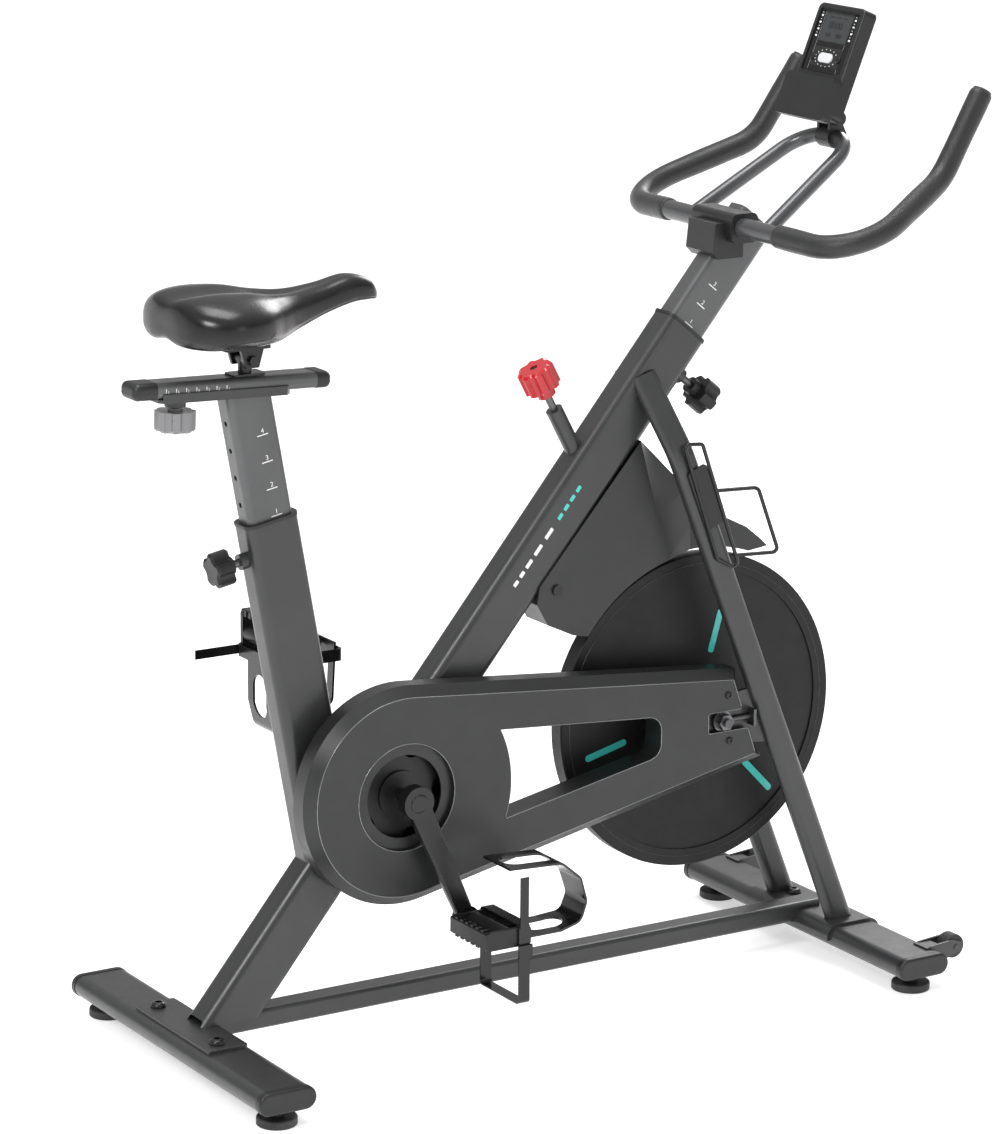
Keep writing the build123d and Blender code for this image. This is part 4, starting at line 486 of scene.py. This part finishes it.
# ------------------------------------------------------------------ saddle
saddle_stations = [
    # x, half width, top, widest height, bottom, hollow along the middle
    (-291, 0, 930, 930, 930, 0.0),
    (-290, 40, 952, 930, 913, 1.0),
    (-281, 71, 963, 931, 906, 3.0),
    (-257, 93, 967, 931, 903, 5.0),
    (-228, 98, 968, 932, 905, 6.0),
    (-194, 88, 966, 931, 903, 6.5),
    (-160, 62, 961, 931, 902, 6.0),
    (-124, 38, 960, 935, 911, 4.0),
    (-82, 27, 965, 943, 926, 2.0),
    (-44, 23, 972, 951, 936, 0.5),
    (-17, 17, 966, 949, 938, 0.0),
    (-4, 8, 953, 944, 938, 0.0),
    (-2, 0, 944, 944, 944, 0.0),
]
saddle_steps, saddle_sides = 96, 72
side_power, crown_power, belly_power = 0.82, 0.78, 0.55  # below 1 is fuller than an ellipse
lobe_height, lobe_full_width = 3.0, 90.0  # the two seat lobes, at their highest where it is this wide
hollow_reach = 17.0
skirt_tuck = 0.09  # how far the skirt draws in below, as a share of the width
belly_arch = 0.35  # how far the middle of the underside rises, as a share of its depth
seam_from, seam_to = sin(-0.42), sin(-0.3)  # the band below the widest line where the cover is pinched
seam_pinch, seam_least_half = 1.1, 12  # depth, and the half width it is worked out on at the narrow ends


def saddle_ring(t):
    """Ring of the cushion at t, from 0 at the back to 1 at the nose."""
    x, half, top, edge, low, hollow = flow(saddle_stations, t)
    half = max(half, 0.2)
    ring = []
    for k in range(saddle_sides):
        a = 2 * pi * (k + 0.5) / saddle_sides
        c, s = cos(a), sin(a)
        y = half * (1 if c > 0 else -1) * abs(c) ** side_power
        if s >= 0:
            z = edge + (top - edge) * s ** crown_power
            lobe = bell((abs(y) - 0.5 * half) / (0.32 * half + 1))
            z += lobe_height * min(1.0, half / lobe_full_width) * lobe - hollow * bell(y / hollow_reach)
        else:
            z = edge - (edge - low) * abs(s) ** belly_power
            y *= 1 - skirt_tuck * abs(s) ** 1.5
            z += (edge - low) * belly_arch * bell(y / (0.45 * half + 1)) * abs(s)
        if seam_from < s < seam_to:
            y *= 1 - seam_pinch / max(half, seam_least_half)
        ring.append(place(x, y, z))
    return ring


cushion = ring_skin([saddle_ring(i / saddle_steps) for i in range(saddle_steps + 1)])
saddle_skin = settle("saddle_cushion", cushion, saddle_cover, "saddle_set")
soften(saddle_skin)
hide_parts("saddle")


# ------------------------------------------------------------------ foam sleeves on the handlebar
bar_bend = 0.068
foam_radius, foam_sides = 0.0149, 28
dome_rings = [(0.0008, 0.6), (0.0012, 0.25)]  # distance past the sleeve's end, share of the last ring's size


def bent_line(corners, radius, step=0.004):
    """Points along straight runs joined by arcs of one radius."""
    line = [corners[0]]
    for before, corner, after in zip(corners, corners[1:], corners[2:]):
        a = (before - corner).normalized()
        b = (after - corner).normalized()
        half = a.angle(b) / 2
        reach = radius / tan(half)
        centre = corner + (a + b).normalized() * radius / sin(half)
        first, last = corner + a * reach - centre, corner + b * reach - centre
        sweep = first.angle(last)
        axis = first.cross(last).normalized()
        count = max(6, int(sweep * radius / step))
        line += [centre + Matrix.Rotation(sweep * k / count, 3, axis) @ first for k in range(count + 1)]
    line.append(corners[-1])
    out = []
    for p, q in zip(line, line[1:]):
        count = max(1, int((q - p).length / step))
        out += [p.lerp(q, k / count) for k in range(count)]
    return out + [line[-1]]


def sleeve(name, hand):
    """Foam sleeve: rolled end by the clamp, soft bulges where it was pushed on, domed tip."""
    line = bent_line([place(508.8, hand * 118, 988.8), place(524, hand * 270.6, 983),
                      place(698, hand * 202.4, 1057), place(766.5, hand * 193, 1163)], bar_bend)
    length = sum((q - p).length for p, q in zip(line, line[1:]))
    rings, run = [], 0.0
    across = Vector((0, 0, 1))
    for i, p in enumerate(line):
        if i:
            run += (p - line[i - 1]).length
        along = (line[min(i + 1, len(line) - 1)] - line[max(i - 1, 0)]).normalized()
        across = (across - along * across.dot(along)).normalized()
        bulges = 0.00025 * sin(run * 31) + 0.00012 * sin(run * 87 + hand)
        rolled_end = 0.0022 * bell(run / 0.0022)
        tip_round = 0.0035 * bell((length - run) / 0.0025)
        radius = foam_radius + bulges - rolled_end - tip_round
        rings.append(circle(p, across, along.cross(across), radius, foam_sides))
    last_ring = rings[-1]
    for lift, share in dome_rings:
        rings.append([line[-1] + along * lift + (p - line[-1]) * share for p in last_ring])
    item = settle(name, ring_skin(rings), grip_skin, "handlebar_set")
    soften(item)
    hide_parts("grip_foam")


sleeve("foam_sleeve_left", 1)
sleeve("foam_sleeve_right", -1)


# ------------------------------------------------------------------ printed scales on posts and slider
seat_lean, bar_lean = radians(100.6), radians(50.5)  # slopes of the seat post and of the handlebar post
post_face = -18.0  # right face of both posts
print_height = 0.03  # thin enough to pass the tubes' plastic bushings
tick_length, tick_width, tick_corner = 15, 1.3, 0.3
digit_u, digit_v = -1.5, 2.4  # a digit's lower left corner from its tick's middle


def post_scale(name, body, lean, top, step, count, digit_size):
    """Ticks with digits down a post's right face; top and step are in x and z."""
    across = Vector((sin(lean), 0, -cos(lean)))
    parts = []
    for i in range(count):
        mark = Sheet(place(top[0] + step[0] * i, post_face, top[1] + step[1] * i), across, outward)
        parts.append(mark.pad(0, 0, tick_length, tick_width, print_height, tick_corner))
        parts.append(mark.text(str(count - i), digit_u, digit_v, digit_size, print_height))
    settle(name, join(parts), white_ink, body, smooth=False)


post_scale("seat_post_scale", "seat_mast", seat_lean, (-168.2, 790), (33.6 * 0.187, -33.6), 4, 8.5)
post_scale("handlebar_post_scale", "handlebar_set", bar_lean, (482.5, 911.0),
           (-26.5 * cos(bar_lean) - 1.0, -26.5 * sin(bar_lean) - 2.0), 3, 8.0)

slider_lean = radians(2)
slider_side = Sheet(place(-302, -20.0, 856.4), Vector((cos(slider_lean), 0, -sin(slider_lean))), outward)
slider_marks, slider_pitch = 7, 13.5
slider_parts = []
for i in range(slider_marks):
    slider_parts.append(slider_side.pad(4 + slider_pitch * i, 0.4, 1.0, 5.0, 0.12, tick_corner))
    slider_parts.append(slider_side.text(str(slider_marks - i), 5.8 + slider_pitch * i, -2.6, 4.6, 0.1))
settle("slider_scale", join(slider_parts), white_ink, "seat_slider", smooth=False)


# ------------------------------------------------------------------ plain accent bars along the main tube
tube_side = Sheet(place(184.5, -22.5, 557.5), Vector((cos(bar_lean), 0, sin(bar_lean))), outward)
white_bars = [(6, 8.8), (20, 8.8), (36, 12.8), (57, 16), (82, 16)]  # distance up the tube, length
teal_bars = [(108, 9), (122, 9), (136, 9), (150, 9)]


accent_width, accent_height, accent_corner = 5.2, 0.12, 1.2


def accent_bars(bars):
    return join([tube_side.pad(u, -1, long, accent_width, accent_height, accent_corner) for u, long in bars])


settle("accent_bars_white", accent_bars(white_bars), white_ink, "frame", smooth=False)
settle("accent_bars_teal", accent_bars(teal_bars), teal_gloss, "frame", smooth=False)


# ------------------------------------------------------------------ console face
console_lean = radians(68)
console_out = Vector((-sin(console_lean), 0, cos(console_lean)))
# u runs to the rider's right from the middle, v up the face
panel = Sheet(place(652, 0, 1110) + console_out * 18.5 / 1000.0, outward, console_out)

side_column = 35.5  # how far the plates and icons beside the screen are from the middle
bezel_plates = [
    # u, v, length, width
    (0, 137.8, 82, 3.2),
    (-side_column, 99, 11, 80),
    (side_column, 99, 11, 80),
    (0, 94.2, 59, 7.6),
    (0, 61.5, 59, 8),
    (-40, 99, 2, 80),
]
bezel = [panel.pad(u, v, long, wide, 0.5, 1.0, sink=0.3) for u, v, long, wide in bezel_plates]
settle("console_bezel", join(bezel), gloss_black, "console_set", smooth=False)

icons = []
for hand in (-1, 1):
    for k in range(4):
        icons.append(panel.pad(hand * side_column, 104 + 9 * k, 4.2, 2.6, 0.65, 1.0, sink=0.0))
        icons.append(panel.pad(hand * side_column, 108 + 9 * k, 2.4, 0.9, 0.65, 0.4, sink=0.0))
key_dots, key_v, key_ring_u, key_ring_v = 16, 77, 22.5, 11.2  # an oval of dots round the middle key
for k in range(key_dots):
    a = 2 * pi * (k + 0.5) / key_dots
    icons.append(panel.pad(key_ring_u * cos(a), key_v + key_ring_v * sin(a), 1.5, 1.5, 0.25, 0.7, sink=0.0))
settle("console_marks", join(icons), white_ink, "console_set", smooth=False)

digits = [
    panel.text("00:00", -17, 116, 13, 0.25),
    panel.text("0.0", -17, 104.5, 8, 0.25),
    panel.text("000", 4, 104.5, 8, 0.25),
]
digits += [panel.pad(-15 + 15 * k, 131, 10, 1.6, 0.2, 0.6, sink=0.0) for k in range(3)]
settle("console_digits", join(digits), segment_ink, "console_set", smooth=False)


# ------------------------------------------------------------------ fine beads round the belt guard's face, coloured pale as painted highlight lines
same_spot, same_plane = 0.00002, 0.00004  # how far apart two corners, or a corner and the face, may be


def flat_outline(node, level, shortest):
    """Closed outlines of a node's flat outer face at y = level, longest runs only."""
    bm = bmesh.new()
    bm.from_mesh(nodes[node].data)
    bmesh.ops.remove_doubles(bm, verts=bm.verts, dist=same_spot)
    flat = set(f for f in bm.faces if all(abs(v.co.y - level) < same_plane for v in f.verts))
    rim = {}
    for f in flat:
        for e in f.edges:
            if sum(1 for g in e.link_faces if g in flat) == 1:
                a, b = e.verts
                rim.setdefault(a.index, []).append(b.index)
                rim.setdefault(b.index, []).append(a.index)
    spots = {v.index: v.co.copy() for v in bm.verts}
    bm.free()
    loops, seen = [], set()
    for start in sorted(rim):
        if start in seen or len(rim[start]) != 2:
            continue
        loop, here, last = [], start, None
        while here not in seen:
            seen.add(here)
            loop.append(here)
            ahead_of = [k for k in rim.get(here, []) if k != last and k not in seen]
            if not ahead_of:
                break
            last, here = here, ahead_of[0]
        if len(loop) > 8:
            loops.append([spots[k] for k in loop])
    return [loop for loop in loops if sum((a - b).length for a, b in zip(loop, loop[1:])) > shortest]


def even(points, step):
    """Points at about equal steps round a closed line."""
    line = points + [points[0]]
    out = [line[0]]
    left = step
    for a, b in zip(line, line[1:]):
        run = (b - a).length
        done = 0.0
        while run - done >= left:
            done += left
            out.append(a.lerp(b, done / run))
            left = step
        left -= run - done
    if (out[-1] - out[0]).length < step * 0.5:
        out.pop()
    return out


guard_face = -0.075
guard_outlines = flat_outline("belt_guard_cover", guard_face, shortest=0.25)
bead_step, bead_radius = 0.003, 0.0006
beads = [closed_bead(even(loop, bead_step), bead_radius) for loop in guard_outlines]
# pale beads along the face's edges: painted highlight lines
settle("guard_edge_highlight_beads", join(beads), highlight_bead_paint, "frame")


# ------------------------------------------------------------------ coloured bars on the flywheel
hub = place(473.7, 0, 353.6)
web_face = hub + Vector((0, -0.010, 0))
pocket_from, pocket_to, pocket_sink = 76, 175, 1.4  # from the hub, and how deep bar and filling reach
teal_runs = [(74, 77, 136), (194, 111, 175), (314, 111, 175)]  # angle, start and end of the visible bar
teal_parts, fill_parts = [], []
for angle, near, far in teal_runs:
    a = radians(angle)
    spoke = Sheet(web_face, Vector((cos(a), 0, sin(a))), outward)
    teal_parts.append(spoke.pad((near + far) / 2, 0, far - near, 9, 0.5, 4.5, sink=pocket_sink))
    for low, high in ((pocket_from, near), (far, pocket_to)):
        if high - low > 4:
            middle, length = (low + high) / 2, high - low + 1
            fill_parts.append(spoke.pad(middle, 0, length, 8.9, 0.02, 2, sink=pocket_sink))
bars = settle("flywheel_bars", join(teal_parts), teal_gloss, "flywheel_set", smooth=False)
settle("flywheel_bar_plugs", join(fill_parts), flywheel_iron, "flywheel_set", smooth=False)
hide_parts("flywheel_inlays")


# ------------------------------------------------------------------ turned rings on the flywheel's faces, as beads painted lighter as highlight lines
turned_rings = [
    # radius and distance from the middle plane in millimetres, bead radius in metres
    (187.6, 10.1, 0.0007),
    (196.0, 12.0, 0.0005),
    (46.0, 10.1, 0.0007),
    (60.0, 10.1, 0.0004),
]
ring_points = 180
ring_parts = []
for radius, depth, thick in turned_rings:
    line = circle(hub, Vector((1, 0, 0)), Vector((0, 0, 1)), radius / 1000.0, ring_points)
    for hand in (-1, 1):
        side = Vector((0, hand * depth / 1000.0, 0))
        ring_parts.append(closed_bead([p + side for p in line], thick))
# beads at the turned rings, coloured lighter than the iron: painted highlight lines
settle("flywheel_highlight_rings", join(ring_parts), ring_highlight_paint, "flywheel_set")
